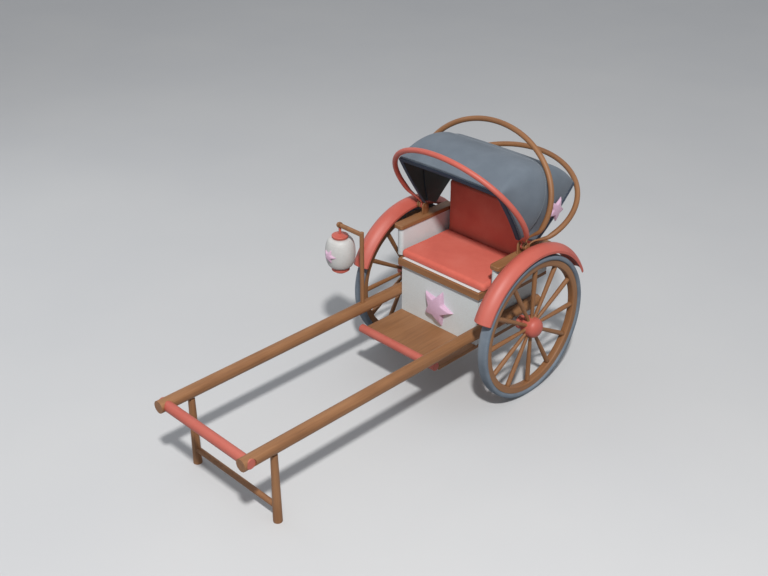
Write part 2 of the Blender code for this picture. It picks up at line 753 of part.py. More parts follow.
def canopy_outline(row, depth):
    """Right half of a section, depth inside the outer skin, from hem to mid roof."""
    hem, corner_x, corner_reach, bulge, crown, rounding = row
    hem, corner_x, corner_reach = hem - depth, corner_x - depth, corner_reach - depth
    rounding = max(rounding - depth, canopy_least_round)
    side_end = 1 - rounding / (corner_reach - canopy_hem)
    roof_start = max(rounding * canopy_roof_round_share, canopy_least_round) / corner_x

    def on_side(share):
        return Vector((hem + (corner_x - hem) * share + bulge * math.sin(math.pi * share),
                       canopy_hem + (corner_reach - canopy_hem) * share))

    def on_roof(share):
        return Vector((corner_x * (1 - share), corner_reach + crown * math.sin(math.pi / 2 * share)))

    start, end = on_side(side_end), on_roof(roof_start)
    rising = on_side(side_end) - on_side(side_end - canopy_slope_share)
    knee = start + rising * ((end.y - start.y) / rising.y)
    points = [on_side(side_end * step / side_steps) for step in range(side_steps)]
    for step in range(corner_steps + 1):
        share = step / corner_steps
        points.append(start * (1 - share) ** 2 + knee * (2 * share * (1 - share)) + end * share ** 2)
    for step in range(1, roof_steps + 1):
        points.append(on_roof(roof_start + (1 - roof_start) * step / roof_steps))
    return points


def canopy_sections(stations, depth):
    first, last = stations
    rows = []
    for index in range(first, last):
        lower, upper = canopy_table[index], canopy_table[index + 1]
        count = canopy_steps if upper[0] - lower[0] > math.radians(5) else 1
        for step in range(count):
            share = step / count
            rows.append([a + (b - a) * share for a, b in zip(lower, upper)])
    rows.append(list(canopy_table[last]))
    sections = []
    for angle, hem, corner_x, *shape in rows:
        half = canopy_outline((hood_plate_outer + hem, hood_plate_outer + corner_x, *shape), depth)
        whole = [(x, height) for x, height in half] + [(-x, height) for x, height in reversed(half[:-1])]
        up = Vector((0, math.sin(angle), math.cos(angle)))
        sections.append([hood_pivot + Vector((x, 0, 0)) + up * height for x, height in whole])
    return sections


def make_canopy(name, stations, depth, origin):
    outer = canopy_sections(stations, depth)
    inner = canopy_sections(stations, depth + canopy_thickness)
    rings = [out + list(reversed(within)) for out, within in zip(outer, inner)]
    bm = bmesh.new()
    loops = [[bm.verts.new(point) for point in ring] for ring in rings]
    count = len(loops[0])
    for first, second in zip(loops, loops[1:]):
        for step in range(count):
            after = (step + 1) % count
            bm.faces.new((first[step], first[after], second[after], second[step]))
    for ring in (loops[0], loops[-1]):
        for step in range(count // 2 - 1):
            bm.faces.new((ring[step], ring[step + 1], ring[count - 2 - step], ring[count - 1 - step]))
    bmesh.ops.recalc_face_normals(bm, faces=bm.faces)
    skin = BVHTree.FromBMesh(bm)
    place(bm, name, slate_cloth, origin)
    return skin


def star(center, right, up, radius, turn, thickness):
    """A padded five-pointed star that stands out of a face along right x up."""
    bm = bmesh.new()
    out = right.cross(up)
    points = 10
    rings = []
    for size_share, height in ((1, 0), (1, star_rim_share * thickness),
                               (star_shoulder_share, star_shoulder_height_share * thickness)):
        ring = []
        for step in range(points):
            angle = turn + 2 * math.pi * step / points
            reach = radius * size_share * (1 if step % 2 == 0 else star_inner_share)
            flat = right * (reach * math.cos(angle)) + up * (reach * math.sin(angle))
            ring.append(bm.verts.new(center + flat + out * height))
        rings.append(ring)
    for first, second in zip(rings, rings[1:]):
        for step in range(points):
            after = (step + 1) % points
            bm.faces.new((first[step], first[after], second[after], second[step]))
    tip = bm.verts.new(center + out * thickness)
    for step in range(points):
        bm.faces.new((rings[-1][step], rings[-1][(step + 1) % points], tip))
    bm.faces.new(rings[0])
    bmesh.ops.recalc_face_normals(bm, faces=bm.faces)
    return bm


def make_hood_stars(skin):
    """A star on each side of the hood, laid flat on the most outward part of the cloth under it."""
    up = Vector((0, 0, 1))
    for side, sign in sides:
        right = Vector((0, sign, 0))
        out = right.cross(up)
        turn = star_hood_turn if sign > 0 else math.pi - star_hood_turn
        center = hood_pivot + Vector((0, star_hood_back, star_hood_rise))
        touching = []
        for step in range(10):
            angle = turn + math.pi * step / 5
            for size_share in (0, star_inner_share, 1):
                reach = star_hood_radius * size_share * (1 if step % 2 == 0 else star_inner_share)
                spot = center + right * (reach * math.cos(angle)) + up * (reach * math.sin(angle))
                hit = skin.ray_cast(spot + out, -out)[0]
                if hit is not None and hit.dot(out) > 0:
                    touching.append(hit.dot(out))
        base = center + out * (max(touching) + star_cloth_gap)
        padded = star(base, right, up, star_hood_radius, turn, star_hood_thickness)
        place(padded, "star_hood_" + side, pink_cloth, hood_pivot)


def make_stars():
    x_axis, z_axis = Vector((1, 0, 0)), Vector((0, 0, 1))
    front = Vector((0, -(box_front + fit_gap), star_box_height))
    place(star(front, x_axis, z_axis, star_box_radius, 0, star_box_thickness), "star_box", pink_cloth)
    lantern_front = Vector((lantern_x, lantern_y - lantern_globe_radius - fit_gap, star_lantern_height))
    seal = star(lantern_front, x_axis, z_axis, star_lantern_radius, 0, star_lantern_thickness)
    place(seal, "star_lantern", pink_cloth, lantern_pivot)


def make_lantern():
    x = -shaft_half_spacing
    post = place(rod((x, lantern_y, shaft_height), (x, lantern_y, lantern_post_top), lantern_post_radius),
                 "lantern_post", wood)
    arm_end = x - lantern_arm_length
    arm = rod((x, lantern_y, lantern_arm_height), (arm_end, lantern_y, lantern_arm_height),
              lantern_arm_radius)
    boolean(post, cutter(arm, "lantern_arm"), "UNION")

    ring_inner = lantern_arm_radius + running_gap
    ring_outer = ring_inner + lantern_ring_wall
    half = lantern_ring_width / 2
    half_width = Vector((half, 0, 0))
    hanger = place(rod(lantern_pivot - half_width, lantern_pivot + half_width, ring_outer),
                   "lantern_hanger", red_paint, lantern_pivot)
    drop_top = lantern_arm_height - (ring_inner + ring_outer) / 2
    drop = rod((lantern_x, lantern_y, drop_top), (lantern_x, lantern_y, lantern_cap_top + fit_gap),
               lantern_rod_radius)
    boolean(hanger, cutter(drop, "hanger_rod"), "UNION")
    hole = rod(lantern_pivot - Vector((half + cut_overrun, 0, 0)),
               lantern_pivot + Vector((half + cut_overrun, 0, 0)), ring_inner)
    boolean(hanger, cutter(hole, "hanger_hole"), "DIFFERENCE")

    middle = (lantern_x, lantern_y, 0)
    cap = [(lantern_cap_top - lantern_cap_height * drop_share, lantern_cap_radius * radius_share)
           for drop_share, radius_share in lantern_cap_shares]
    place(turned(cap, middle, "Z", hub_facets), "lantern_cap", red_paint, lantern_pivot)
    high, low = lantern_globe_top, lantern_globe_bottom
    globe_steps = 10
    profile = []
    for step in range(globe_steps + 1):
        angle = math.pi * step / globe_steps
        swell = math.sin(angle) ** lantern_swell_share
        profile.append(((high + low) / 2 + (high - low) / 2 * math.cos(angle),
                        lantern_globe_neck + (lantern_globe_radius - lantern_globe_neck) * swell))
    place(turned(profile, middle, "Z", hub_facets), "lantern_globe", paper, lantern_pivot)
    high = lantern_globe_bottom - fit_gap
    foot = [(high - lantern_foot_height * drop_share, lantern_foot_radius * radius_share)
            for drop_share, radius_share in lantern_foot_shares]
    place(turned(foot, middle, "Z", hub_facets), "lantern_foot", red_paint, lantern_pivot)


for old in list(bpy.data.objects):
    bpy.data.objects.remove(old)

sides = (("left", 1), ("right", -1))
lantern_pivot = Vector((lantern_x, lantern_y, lantern_arm_height))
star_lantern_height = (lantern_cap_top - lantern_cap_height + lantern_globe_bottom) / 2

wood = new_material("oiled_wood", (0.31, 0.14, 0.06), 0.55)
red_paint = new_material("coral_paint", (0.60, 0.13, 0.095), 0.45)
white_paint = new_material("white_paint", (0.62, 0.62, 0.60), 0.5)
rubber = new_material("grey_rubber", (0.17, 0.21, 0.25), 0.8)
steel = new_material("bright_steel", (0.45, 0.46, 0.48), 0.35, 1.0)
iron = new_material("black_iron", (0.05, 0.05, 0.055), 0.5, 0.8)
red_cloth = new_material("coral_cloth", (0.58, 0.11, 0.08), 0.85)
slate_cloth = new_material("slate_cloth", (0.17, 0.21, 0.25), 0.85)
pink_cloth = new_material("pink_cloth", (0.62, 0.40, 0.54), 0.8)
paper = new_material("oiled_paper", (0.72, 0.72, 0.70), 0.6)

frame_empty = bpy.data.objects.new("rickshaw_frame", None)
bpy.context.scene.collection.objects.link(frame_empty)
frame_empty.location = (-origin_x, -origin_y, 0)

for wheel_side, wheel_sign in sides:
    make_wheel(wheel_side, wheel_sign)
make_axle()
make_shafts()
make_front_stand()
make_box()
make_trim()
make_arm_rests()
make_seat()
make_guards()
make_hood_plates()
for bow_name, bow_angle, bow_step, bow_swell, bow_reach in bow_table:
    bow_foot = hood_plate_outer + bow_step
    make_bow(bow_name, bow_angle, bow_foot, bow_foot + bow_swell, bow_reach)
make_canopy("canopy_front", canopy_front_stations, 0, hood_pivot)
rear_skin = make_canopy("canopy_rear", canopy_rear_stations, canopy_thickness + canopy_lap_gap, hood_pivot)
make_hood_stars(rear_skin)
make_lantern()
make_stars()
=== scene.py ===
# %% [markdown]
# # A pulled rickshaw, piece by piece
# The solids of the rickshaw come ready-made: they say where every piece is and
# how big it is. This lesson gives them their looks. Each step says what a piece
# is on the real vehicle, how it could be made in Blender, and why it is made
# the way it is here.

# %% Open the solid model
import json
import math

import bmesh
import bpy
from mathutils import Matrix, Vector


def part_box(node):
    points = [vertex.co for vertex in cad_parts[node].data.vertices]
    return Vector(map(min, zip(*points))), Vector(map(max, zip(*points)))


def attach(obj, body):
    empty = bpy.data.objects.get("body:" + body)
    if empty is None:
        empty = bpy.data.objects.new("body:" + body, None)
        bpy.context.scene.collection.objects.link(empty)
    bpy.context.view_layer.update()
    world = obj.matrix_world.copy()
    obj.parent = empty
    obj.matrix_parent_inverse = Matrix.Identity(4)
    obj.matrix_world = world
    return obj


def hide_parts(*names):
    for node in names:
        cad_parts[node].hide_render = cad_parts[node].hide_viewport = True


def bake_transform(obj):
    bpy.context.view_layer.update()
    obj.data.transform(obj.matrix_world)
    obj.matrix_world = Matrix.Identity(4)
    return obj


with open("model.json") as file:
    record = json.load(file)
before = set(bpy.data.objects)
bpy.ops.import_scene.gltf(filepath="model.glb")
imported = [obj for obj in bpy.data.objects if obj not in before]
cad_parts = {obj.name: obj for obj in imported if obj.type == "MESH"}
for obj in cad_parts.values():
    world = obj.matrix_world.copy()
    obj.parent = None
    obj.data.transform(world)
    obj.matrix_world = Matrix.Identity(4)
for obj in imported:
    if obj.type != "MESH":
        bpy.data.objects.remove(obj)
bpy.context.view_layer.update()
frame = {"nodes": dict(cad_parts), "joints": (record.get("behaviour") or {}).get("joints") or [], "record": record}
bodies = frame["record"]["behaviour"]["bodies"]
body_of_node = {node: body for body, nodes in bodies.items() for node in nodes}
joint_at = {joint["name"]: Vector(joint["pos_m"]) for joint in frame["joints"]}

# %% [markdown]
# ## Where things are
# The frame's origin lies on the ground under the middle of the vehicle. The
# wheels' and the hood's pins are read from the joints, so nothing is measured
# twice. Two small helpers give a side its name and its sign.

# %% Places that many pieces share
left_hub, right_hub = joint_at["wheel_left_spin"], joint_at["wheel_right_spin"]
middle_x = (left_hub.x + right_hub.x) / 2
axle_y, axle_z = left_hub.y, left_hub.z
hood_pin = joint_at["hood_fold"].copy()
lantern_pin = joint_at["lantern_swing"].copy()
SIDES = (("left", 1), ("right", -1))
print("axle at", round(axle_y, 4), round(axle_z, 4), "hood pin at", [round(v, 4) for v in hood_pin])

# %% [markdown]
# ## Camera, floor and light
# The camera stands to the front left of the vehicle, 29 degrees up, with a
# lens of 51 mm on a 36 mm sensor. The floor is plain and pale. A strong lamp
# stands high over the camera's shoulder, so the near side and the front are
# lit and the space under the hood is dark; a weak broad one fills the shadows
# from the other side, and a pale sky does the rest.

# %% Camera
VIEW_AZIMUTH, VIEW_ELEVATION = math.radians(45), 0.507
EYE = Vector((3.8768, -3.8707, 3.8367))
backward = Vector((math.sin(VIEW_AZIMUTH) * math.cos(VIEW_ELEVATION),
                   -math.cos(VIEW_AZIMUTH) * math.cos(VIEW_ELEVATION), math.sin(VIEW_ELEVATION)))
lens = bpy.data.cameras.new("camera")
lens.sensor_width, lens.lens = 36.0, 51.13
lens.clip_end = 60.0
camera = bpy.data.objects.new("camera", lens)
camera.location = EYE
camera.rotation_mode = "QUATERNION"
camera.rotation_quaternion = (-backward).to_track_quat("-Z", "Y")
bpy.context.scene.collection.objects.link(camera)
bpy.context.scene.camera = camera
bpy.context.scene.view_settings.view_transform = "Standard"


# %% Lamps
def add_lamp(name, place, target, size, power, tint):
    lamp = bpy.data.lights.new(name, "AREA")
    lamp.shape, lamp.size, lamp.energy, lamp.color = "DISK", size, power, tint
    item = bpy.data.objects.new(name, lamp)
    item.location = place
    item.rotation_mode = "QUATERNION"
    item.rotation_quaternion = (Vector(target) - Vector(place)).to_track_quat("-Z", "Y")
    bpy.context.scene.collection.objects.link(item)


AIM = (0.0, 0.2, 0.7)
KEY_PLACE, KEY_SIZE, KEY_WATTS, KEY_TINT = (5.60, -5.05, 10.0), 0.8, 1300.0, (1.0, 0.99, 0.975)
FILL_PLACE, FILL_SIZE, FILL_WATTS, FILL_TINT = (-4.6, -1.5, 3.4), 4.0, 30.0, (0.90, 0.95, 1.0)
add_lamp("key_lamp", KEY_PLACE, AIM, KEY_SIZE, KEY_WATTS, KEY_TINT)
add_lamp("fill_lamp", FILL_PLACE, AIM, FILL_SIZE, FILL_WATTS, FILL_TINT)
print("camera at", [round(v, 2) for v in EYE], "lamps: 2")

# %% [markdown]
# ## Shader sums written as Python
# Node trees for fine surfaces hold dozens of maths nodes. A small class wraps
# a socket and gives it +, -, * and /, so that a mask reads as a formula. Every
# other node comes from one method, which takes the node's type, its settings
# and the values or links of its sockets.


# %% Sockets and finishes
class Wire:
    """A socket that takes part in sums; each sum adds a Math node."""

    def __init__(self, finish, socket):
        self.finish, self.socket = finish, socket

    def math(self, operation, *others):
        sockets = {0: self, **{index + 1: other for index, other in enumerate(others)}}
        return self.finish.node("ShaderNodeMath", {"operation": operation}, sockets)

    def __add__(self, other):
        return self.math("ADD", other)

    def __mul__(self, other):
        return self.math("MULTIPLY", other)

    def __sub__(self, other):
        return self.math("SUBTRACT", other)

    def __truediv__(self, other):
        return self.math("DIVIDE", other)

    def __rsub__(self, other):
        return (self * -1.0) + other

    __radd__ = __add__
    __rmul__ = __mul__

    def wave(self):
        return self.math("SINE")

    def size(self):
        return self.math("ABSOLUTE")

    def held(self):
        return self.math("MINIMUM", 1.0).math("MAXIMUM", 0.0)


class Finish:
    """A material in the making: a Principled shader and the nodes that feed it."""

    def __init__(self, name, colour, roughness, metallic=0.0, **more):
        self.material = bpy.data.materials.new(name)
        self.material.use_nodes = True
        self.material.diffuse_color = (*colour, 1.0)
        self.tree = self.material.node_tree
        self.tree.nodes.clear()
        steady = {"Base Color": (*colour, 1.0), "Roughness": roughness, "Metallic": metallic, **more}
        shader = self.node("ShaderNodeBsdfPrincipled", {}, steady)
        self.shader = shader.socket.node
        self.node("ShaderNodeOutputMaterial", {}, {"Surface": shader})

    def node(self, kind, settings=None, sockets=None, out=0):
        made = self.tree.nodes.new(kind)
        for key, value in (settings or {}).items():
            if key == "stops":
                self._set_stops(made.color_ramp, value)
            else:
                setattr(made, key, value)
        for key, value in (sockets or {}).items():
            if isinstance(value, Wire):
                self.tree.links.new(value.socket, made.inputs[key])
            else:
                made.inputs[key].default_value = value
        return Wire(self, made.outputs[out]) if len(made.outputs) else None

    @staticmethod
    def _set_stops(ramp, stops):
        while len(ramp.elements) > 1:
            ramp.elements.remove(ramp.elements[-1])
        ramp.elements[0].position, ramp.elements[0].color = stops[0][0], (*stops[0][1], 1.0)
        for position, colour in stops[1:]:
            ramp.elements.new(position).color = (*colour, 1.0)

    def feed(self, socket_name, wire):
        self.tree.links.new(wire.socket, self.shader.inputs[socket_name])

    def place(self, from_map=False, scale=(1.0, 1.0, 1.0)):
        here = self.node("ShaderNodeTexCoord", out="UV" if from_map else "Object")
        return self.node("ShaderNodeMapping", {}, {"Vector": here, "Scale": scale})

    def noise(self, vector, scale, detail=3.0, roughness=0.5):
        sockets = {"Vector": vector, "Scale": scale, "Detail": detail, "Roughness": roughness}
        return self.node("ShaderNodeTexNoise", {}, sockets, out="Fac")

    def ramp(self, value, stops):
        return self.node("ShaderNodeValToRGB", {"stops": stops}, {"Fac": value})

    def blend(self, factor, first, second):
        return self.node("ShaderNodeMix", {"data_type": "RGBA"}, {0: factor, 6: first, 7: second}, out=2)

    def relief(self, height, distance, strength=1.0, over=None):
        sockets = {"Height": height, "Distance": distance, "Strength": strength}
        if over is not None:
            sockets["Normal"] = over
        bump = self.node("ShaderNodeBump", {}, sockets)
        self.feed("Normal", bump)
        return bump

    def edges(self, low=0.53, high=0.60):
        """About 1 on worn outer edges and 0 elsewhere."""
        bare = self.node("ShaderNodeNewGeometry", out="Pointiness")
        return ((bare - low) / (high - low)).held()


# %% [markdown]
# ## Wood
# The shafts, stand, rims, trim and bows are oiled hardwood. Its grain is noise
# that is stretched along the stick. Straight sticks read Object coordinates;
# bent ones read their own UV map, which runs along the bend in metres. Fine
# dark pores lie on top, and edges that hands and feet rub are lighter.

# %% Wood finishes
WOOD_DARK, WOOD_MIDDLE, WOOD_LIGHT = (0.160, 0.066, 0.023), (0.248, 0.108, 0.040), (0.325, 0.152, 0.062)
GRAIN_LONG, GRAIN_ACROSS = 2.4, 46.0
PORE_LONG, PORE_ACROSS = 16.0, 520.0
WOOD_RUBBED = (0.42, 0.225, 0.110, 1.0)


def stretched(long_axis, along, across):
    return tuple(along if axis == long_axis else across for axis in "XYZ")


def wood_finish(name, long_axis, from_map=False):
    finish = Finish(name, WOOD_MIDDLE, 0.5)
    grain = finish.place(from_map, stretched(long_axis, GRAIN_LONG, GRAIN_ACROSS))
    figure = finish.noise(grain, 1.0, 5.0, 0.62)
    pores = finish.noise(finish.place(from_map, stretched(long_axis, PORE_LONG, PORE_ACROSS)), 1.0, 2.0, 0.5)
    drift = finish.noise(finish.place(from_map), 3.1, 2.0)
    tone = figure * 0.62 + pores * 0.16 + drift * 0.22
    colour = finish.ramp(tone, [(0.30, WOOD_DARK), (0.48, WOOD_MIDDLE), (0.68, WOOD_LIGHT)])
    rubbed = finish.edges() * (drift * 1.4 - 0.2).held() * 0.55
    finish.feed("Base Color", finish.blend(rubbed, colour, WOOD_RUBBED))
    finish.feed("Roughness", (0.40 + pores * 0.22 + figure * 0.06).held())
    finish.relief(figure * 0.6 + pores * 0.4, 0.0006, 0.6)
    return finish.material


wood_y = wood_finish("oiled_wood_lengthways", "Y")
wood_x = wood_finish("oiled_wood_crossways", "X")
wood_z = wood_finish("oiled_wood_upright", "Z")
wood_bent = wood_finish("oiled_wood_bent", "X", from_map=True)

# %% [markdown]
# ## Paint
# Coral paint covers the mudguards, hubs, cross bar and front bow; off-white
# paint covers the box. Brushed paint is never one colour: it clouds a little,
# carries faint brush lines, gathers dust low down and thins at the edges.


# %% Paint finishes
def paint_finish(name, colour, deep, dusty, bare, brush_axis="Z", gloss=0.42, bare_share=0.5, grime=0.45):
    finish = Finish(name, colour, gloss)
    here = finish.place()
    clouds = finish.noise(here, 4.3, 4.0, 0.55)
    lines = finish.noise(finish.place(False, stretched(brush_axis, 9.0, 330.0)), 1.0, 2.0)
    specks = finish.noise(here, 210.0, 3.0, 0.6)
    tone = clouds * 0.75 + lines * 0.25
    shade = finish.ramp(tone, [(0.32, deep), (0.55, colour)])
    low = finish.node("ShaderNodeSeparateXYZ", {}, {0: here}, out="Z")
    dust = ((1.0 - low * 1.05) * (clouds * 1.5 - 0.25) * specks * grime).held()
    shade = finish.blend(dust, shade, (*dusty, 1.0))
    chips = finish.edges(0.54, 0.62) * (specks * 2.6 - 0.95).held() * bare_share
    finish.feed("Base Color", finish.blend(chips.held(), shade, (*bare, 1.0)))
    finish.feed("Roughness", (gloss + clouds * 0.10 + dust * 0.35 + specks * 0.04).held())
    finish.relief(lines * 0.6 + specks * 0.4, 0.00025, 0.55)
    return finish.material


CORAL, CORAL_DEEP = (0.535, 0.114, 0.081), (0.480, 0.090, 0.063)
CHALK, CHALK_DEEP = (0.700, 0.762, 0.775), (0.640, 0.697, 0.708)
DUST = (0.33, 0.28, 0.23)
PRIMER, BARE_WOOD = (0.30, 0.14, 0.08), (0.34, 0.20, 0.12)
coral_paint = paint_finish("coral_paint", CORAL, CORAL_DEEP, DUST, PRIMER)
coral_paint_bars = paint_finish("coral_paint_on_bars", CORAL, CORAL_DEEP, DUST, PRIMER, "X")
white_paint = paint_finish("off_white_paint", CHALK, CHALK_DEEP, DUST, BARE_WOOD, "X", 0.46, 0.35, 0.22)

# %% [markdown]
# ## Rubber, steel and iron
# The tyres are solid grey rubber; the middle of the tread is paler, partly
# dust and partly a painted highlight. The axle is bare turned steel with fine
# rings; brackets and clips are blackened iron with a few brighter rubbed spots.


# %% Rubber and metal finishes
def rubber_finish():
    finish = Finish("slate_rubber", (0.150, 0.185, 0.225), 0.75)
    here = finish.place()
    clouds = finish.noise(here, 7.0, 4.0, 0.6)
    grit = finish.noise(here, 380.0, 2.0)
    map_here = finish.node("ShaderNodeTexCoord", out="UV")
    across = finish.node("ShaderNodeSeparateXYZ", {}, {0: map_here}, out="Y")
    tread = (1.0 - (across - 0.5).size() * 4.0).held()
    tone = clouds * 0.7 + grit * 0.3
    base = finish.ramp(tone, [(0.34, (0.110, 0.140, 0.175)), (0.62, (0.190, 0.228, 0.272))])
    # paler middle of the tread: partly dust, partly a painted highlight
    dusty = (tread * clouds * 0.75).held()
    finish.feed("Base Color", finish.blend(dusty, base, (0.335, 0.345, 0.350, 1.0)))
    finish.feed("Roughness", (0.68 + grit * 0.2).held())
    ribs = (across * 113.0).wave() * tread
    finish.relief(ribs * 0.5 + grit * 0.35, 0.0010, 0.7)
    return finish.material


def steel_finish():
    finish = Finish("turned_steel", (0.47, 0.48, 0.50), 0.34, 1.0)
    turned = finish.noise(finish.place(False, (900.0, 6.0, 6.0)), 1.0, 2.0)
    stain = finish.noise(finish.place(), 24.0, 4.0, 0.6)
    finish.feed("Base Color", finish.ramp(stain, [(0.36, (0.24, 0.24, 0.27)), (0.62, (0.52, 0.53, 0.56))]))
    finish.feed("Roughness", (0.24 + turned * 0.14 + stain * 0.16).held())
    finish.relief(turned, 0.0002, 0.4)
    return finish.material


def iron_finish():
    finish = Finish("blackened_iron", (0.055, 0.055, 0.060), 0.55, 0.75)
    scale = finish.noise(finish.place(), 95.0, 4.0, 0.62)
    rubbed = (finish.edges() * 0.8 + (scale - 0.62) * 1.8).held()
    base = finish.ramp(scale, [(0.35, (0.030, 0.029, 0.030)), (0.66, (0.085, 0.080, 0.078))])
    finish.feed("Base Color", finish.blend(rubbed, base, (0.30, 0.29, 0.28, 1.0)))
    finish.feed("Roughness", (0.42 + scale * 0.32).held())
    finish.relief(scale, 0.0005, 0.6)
    return finish.material


slate_rubber, turned_steel, blackened_iron = rubber_finish(), steel_finish(), iron_finish()

# %% [markdown]
# ## Cloth and paper
# The hood is slate-blue canvas; its lining is darker, which paints the shade
# under the hood, and its edges carry a dark band of painted shade. The cushions
# wear a coral twill; the stars are soft pink felt. A weave is two crossed waves
# in the bump, at the thread's real pitch. The canvas reads its UV map, so its
# threads follow the curve of the hood. The lantern's globe is oiled paper over
# thin hoops.

# %% Cloth and paper finishes
FULL_TURN = 2 * math.pi


def woven(finish, first, second, pitch):
    """Height of a plain weave whose threads run along two coordinates given in metres."""
    over = (first * (FULL_TURN / pitch)).wave()
    under = (second * (FULL_TURN / pitch)).wave()
    return over * under * 0.5 + over * 0.25 + under * 0.25


def cloth_finish(name, colour, deep, pale, pitch, from_map=False, rough=0.86, sheen=0.15, fade=0.5):
    finish = Finish(name, colour, rough, **{"Sheen Weight": sheen, "Sheen Roughness": 0.5})
    here = finish.place(from_map)
    parts = here.socket.node
    split = finish.node("ShaderNodeSeparateXYZ", {}, {0: Wire(finish, parts.outputs[0])}).socket.node
    x, y, z = (Wire(finish, split.outputs[index]) for index in range(3))
    weave = woven(finish, x + y * (0.0 if from_map else 0.38), (y if from_map else z + y * 0.92), pitch)
    clouds = finish.noise(finish.place(), 5.2, 4.0, 0.55)
    slub = finish.noise(here, 260.0, 3.0, 0.6)
    tone = clouds * 0.6 + slub * 0.25 + weave * 0.06 + 0.075
    shade = finish.ramp(tone, [(0.30, deep), (0.50, colour), (0.74, pale)])
    rubbed = (finish.edges(0.515, 0.56) * clouds * fade).held()
    finish.feed("Base Color", finish.blend(rubbed, shade, (*pale, 1.0)))
    finish.feed("Roughness", (rough + slub * 0.12 - 0.05).held())
    finish.relief(weave * 0.5 + slub * 0.5, 0.0006, 0.55)
    return finish.material


canvas = cloth_finish("slate_canvas", (0.135, 0.163, 0.196), (0.104, 0.128, 0.158), (0.180, 0.212, 0.250),
                      0.0021, from_map=True, sheen=0.06)
# darker than the canvas: painted shade under the hood
lining_and_painted_shade = cloth_finish("lining_darkened_as_painted_shade", (0.070, 0.090, 0.087), (0.056, 0.073, 0.071), (0.088, 0.110, 0.107),
                      0.0016, from_map=True, sheen=0.0)
# dark navy band: painted shade along the hood's edges and on its front facing
painted_shade_band = cloth_finish("navy_band_painted_shade", (0.040, 0.058, 0.092), (0.030, 0.044, 0.072), (0.056, 0.078, 0.118),
                       0.0014, sheen=0.0, fade=0.2)
twill = cloth_finish("coral_twill", (0.670, 0.134, 0.092), (0.585, 0.102, 0.068), (0.720, 0.190, 0.140),
                     0.0019, sheen=0.06, fade=0.35)
felt = cloth_finish("pink_felt", (0.640, 0.420, 0.555), (0.560, 0.345, 0.480), (0.720, 0.515, 0.635), 0.0013)


def paper_finish():
    finish = Finish("oiled_paper", (0.70, 0.70, 0.68), 0.55)
    here = finish.place()
    fibres = finish.noise(here, 90.0, 5.0, 0.7)
    clouds = finish.noise(here, 11.0, 3.0)
    tone = fibres * 0.45 + clouds * 0.55
    finish.feed("Base Color", finish.ramp(tone, [(0.34, (0.53, 0.52, 0.50)), (0.60, (0.60, 0.60, 0.585))]))
    finish.feed("Roughness", (0.42 + fibres * 0.3).held())
    finish.relief(fibres, 0.0006, 0.6)
    return finish.material


oiled_paper = paper_finish()
thread = cloth_finish("pale_thread", (0.30, 0.34, 0.38), (0.24, 0.27, 0.31), (0.40, 0.44, 0.48), 0.0008)
print("finishes:", len(bpy.data.materials))

# %% [markdown]
# ## Building tools
# A turned piece is a profile spun round a line, and a bent stick is a ring of
# points carried along a path. Both get a UV map, in metres along a bent stick,
# so that grain and weave follow them. A piece is finished by saying which body
# carries it and which plain solid it stands for.


# %% Finish a piece
def settle(bm, name, material, body, stands_for=(), crease=38.0, weld=1e-5):
    bmesh.ops.remove_doubles(bm, verts=bm.verts, dist=weld)
    bmesh.ops.recalc_face_normals(bm, faces=bm.faces)
    mesh = bpy.data.meshes.new(name)
    bm.to_mesh(mesh)
    bm.free()
    mesh.shade_smooth()
    mesh.set_sharp_from_angle(angle=math.radians(crease))
    for one in material if isinstance(material, (list, tuple)) else (material,):
        mesh.materials.append(one)
    return carry(bpy.data.objects.new(name, mesh), body, stands_for)


def carry(piece, body, stands_for=()):
    if piece.name not in bpy.context.scene.collection.objects:
        bpy.context.scene.collection.objects.link(piece)
    if body:
        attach(piece, body)
    if stands_for:
        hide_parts(*stands_for)
    return piece


def soften(piece, width, segments=2, angle=38.0):
    """Round the piece's sharp edges a little, as planes, sandpaper and paint do."""
    rounding = piece.modifiers.new("rounded_edges", "BEVEL")
    rounding.width, rounding.segments = width, segments
    rounding.limit_method, rounding.angle_limit = "ANGLE", math.radians(angle)
    rounding.harden_normals = True
    return piece


def dress(node, material, rounding=0.0015):
    """A welded copy of a plain solid, with softened edges and a finish."""
    bm = bmesh.new()
    bm.from_mesh(frame["nodes"][node].data)
    bmesh.ops.remove_doubles(bm, verts=bm.verts, dist=1e-5)
    bmesh.ops.dissolve_limit(bm, angle_limit=math.radians(0.6), verts=bm.verts, edges=bm.edges)
    piece = settle(bm, "dressed_" + node, material, body_of_node[node], (node,))
    return soften(piece, rounding) if rounding else piece


# %% Spin and sweep
def spin_profile(profile, centre, axis, steps, closed=False, uv_turns=1.0):
    """Spin (along, radius) points; the UV map holds the turn from 0 to 1 and the place along the profile."""
    bm = bmesh.new()
    uv = bm.loops.layers.uv.new("map")
    line = Vector((1, 0, 0)) if axis == "X" else Vector((0, 0, 1))
    side = Vector((0, 0, 1)) if axis == "X" else Vector((1, 0, 0))
    other = line.cross(side)
    rings = []
    for along, radius in profile:
        ring = []
        for step in range(steps):
            angle = FULL_TURN * step / steps
            ring.append(bm.verts.new(centre + line * along
                                     + (side * math.cos(angle) + other * math.sin(angle)) * radius))
        rings.append(ring)
    pairs = list(range(len(rings) - (0 if closed else 1)))
    for index in pairs:
        first, second = rings[index], rings[(index + 1) % len(rings)]
        for step in range(steps):
            after = (step + 1) % steps
            face = bm.faces.new((first[step], first[after], second[after], second[step]))
            turn = (step / steps, (step + 1) / steps)
            rise = (index / len(profile), (index + 1) / len(profile))
            for loop, place in zip(face.loops, ((turn[0], rise[0]), (turn[1], rise[0]),
                                                (turn[1], rise[1]), (turn[0], rise[1]))):
                loop[uv].uv = (place[0] * uv_turns, place[1])
    if not closed:
        for ring in (rings[0], rings[-1]):
            if (ring[0].co - ring[1].co).length > 1e-6:
                bm.faces.new(ring)
    return bm


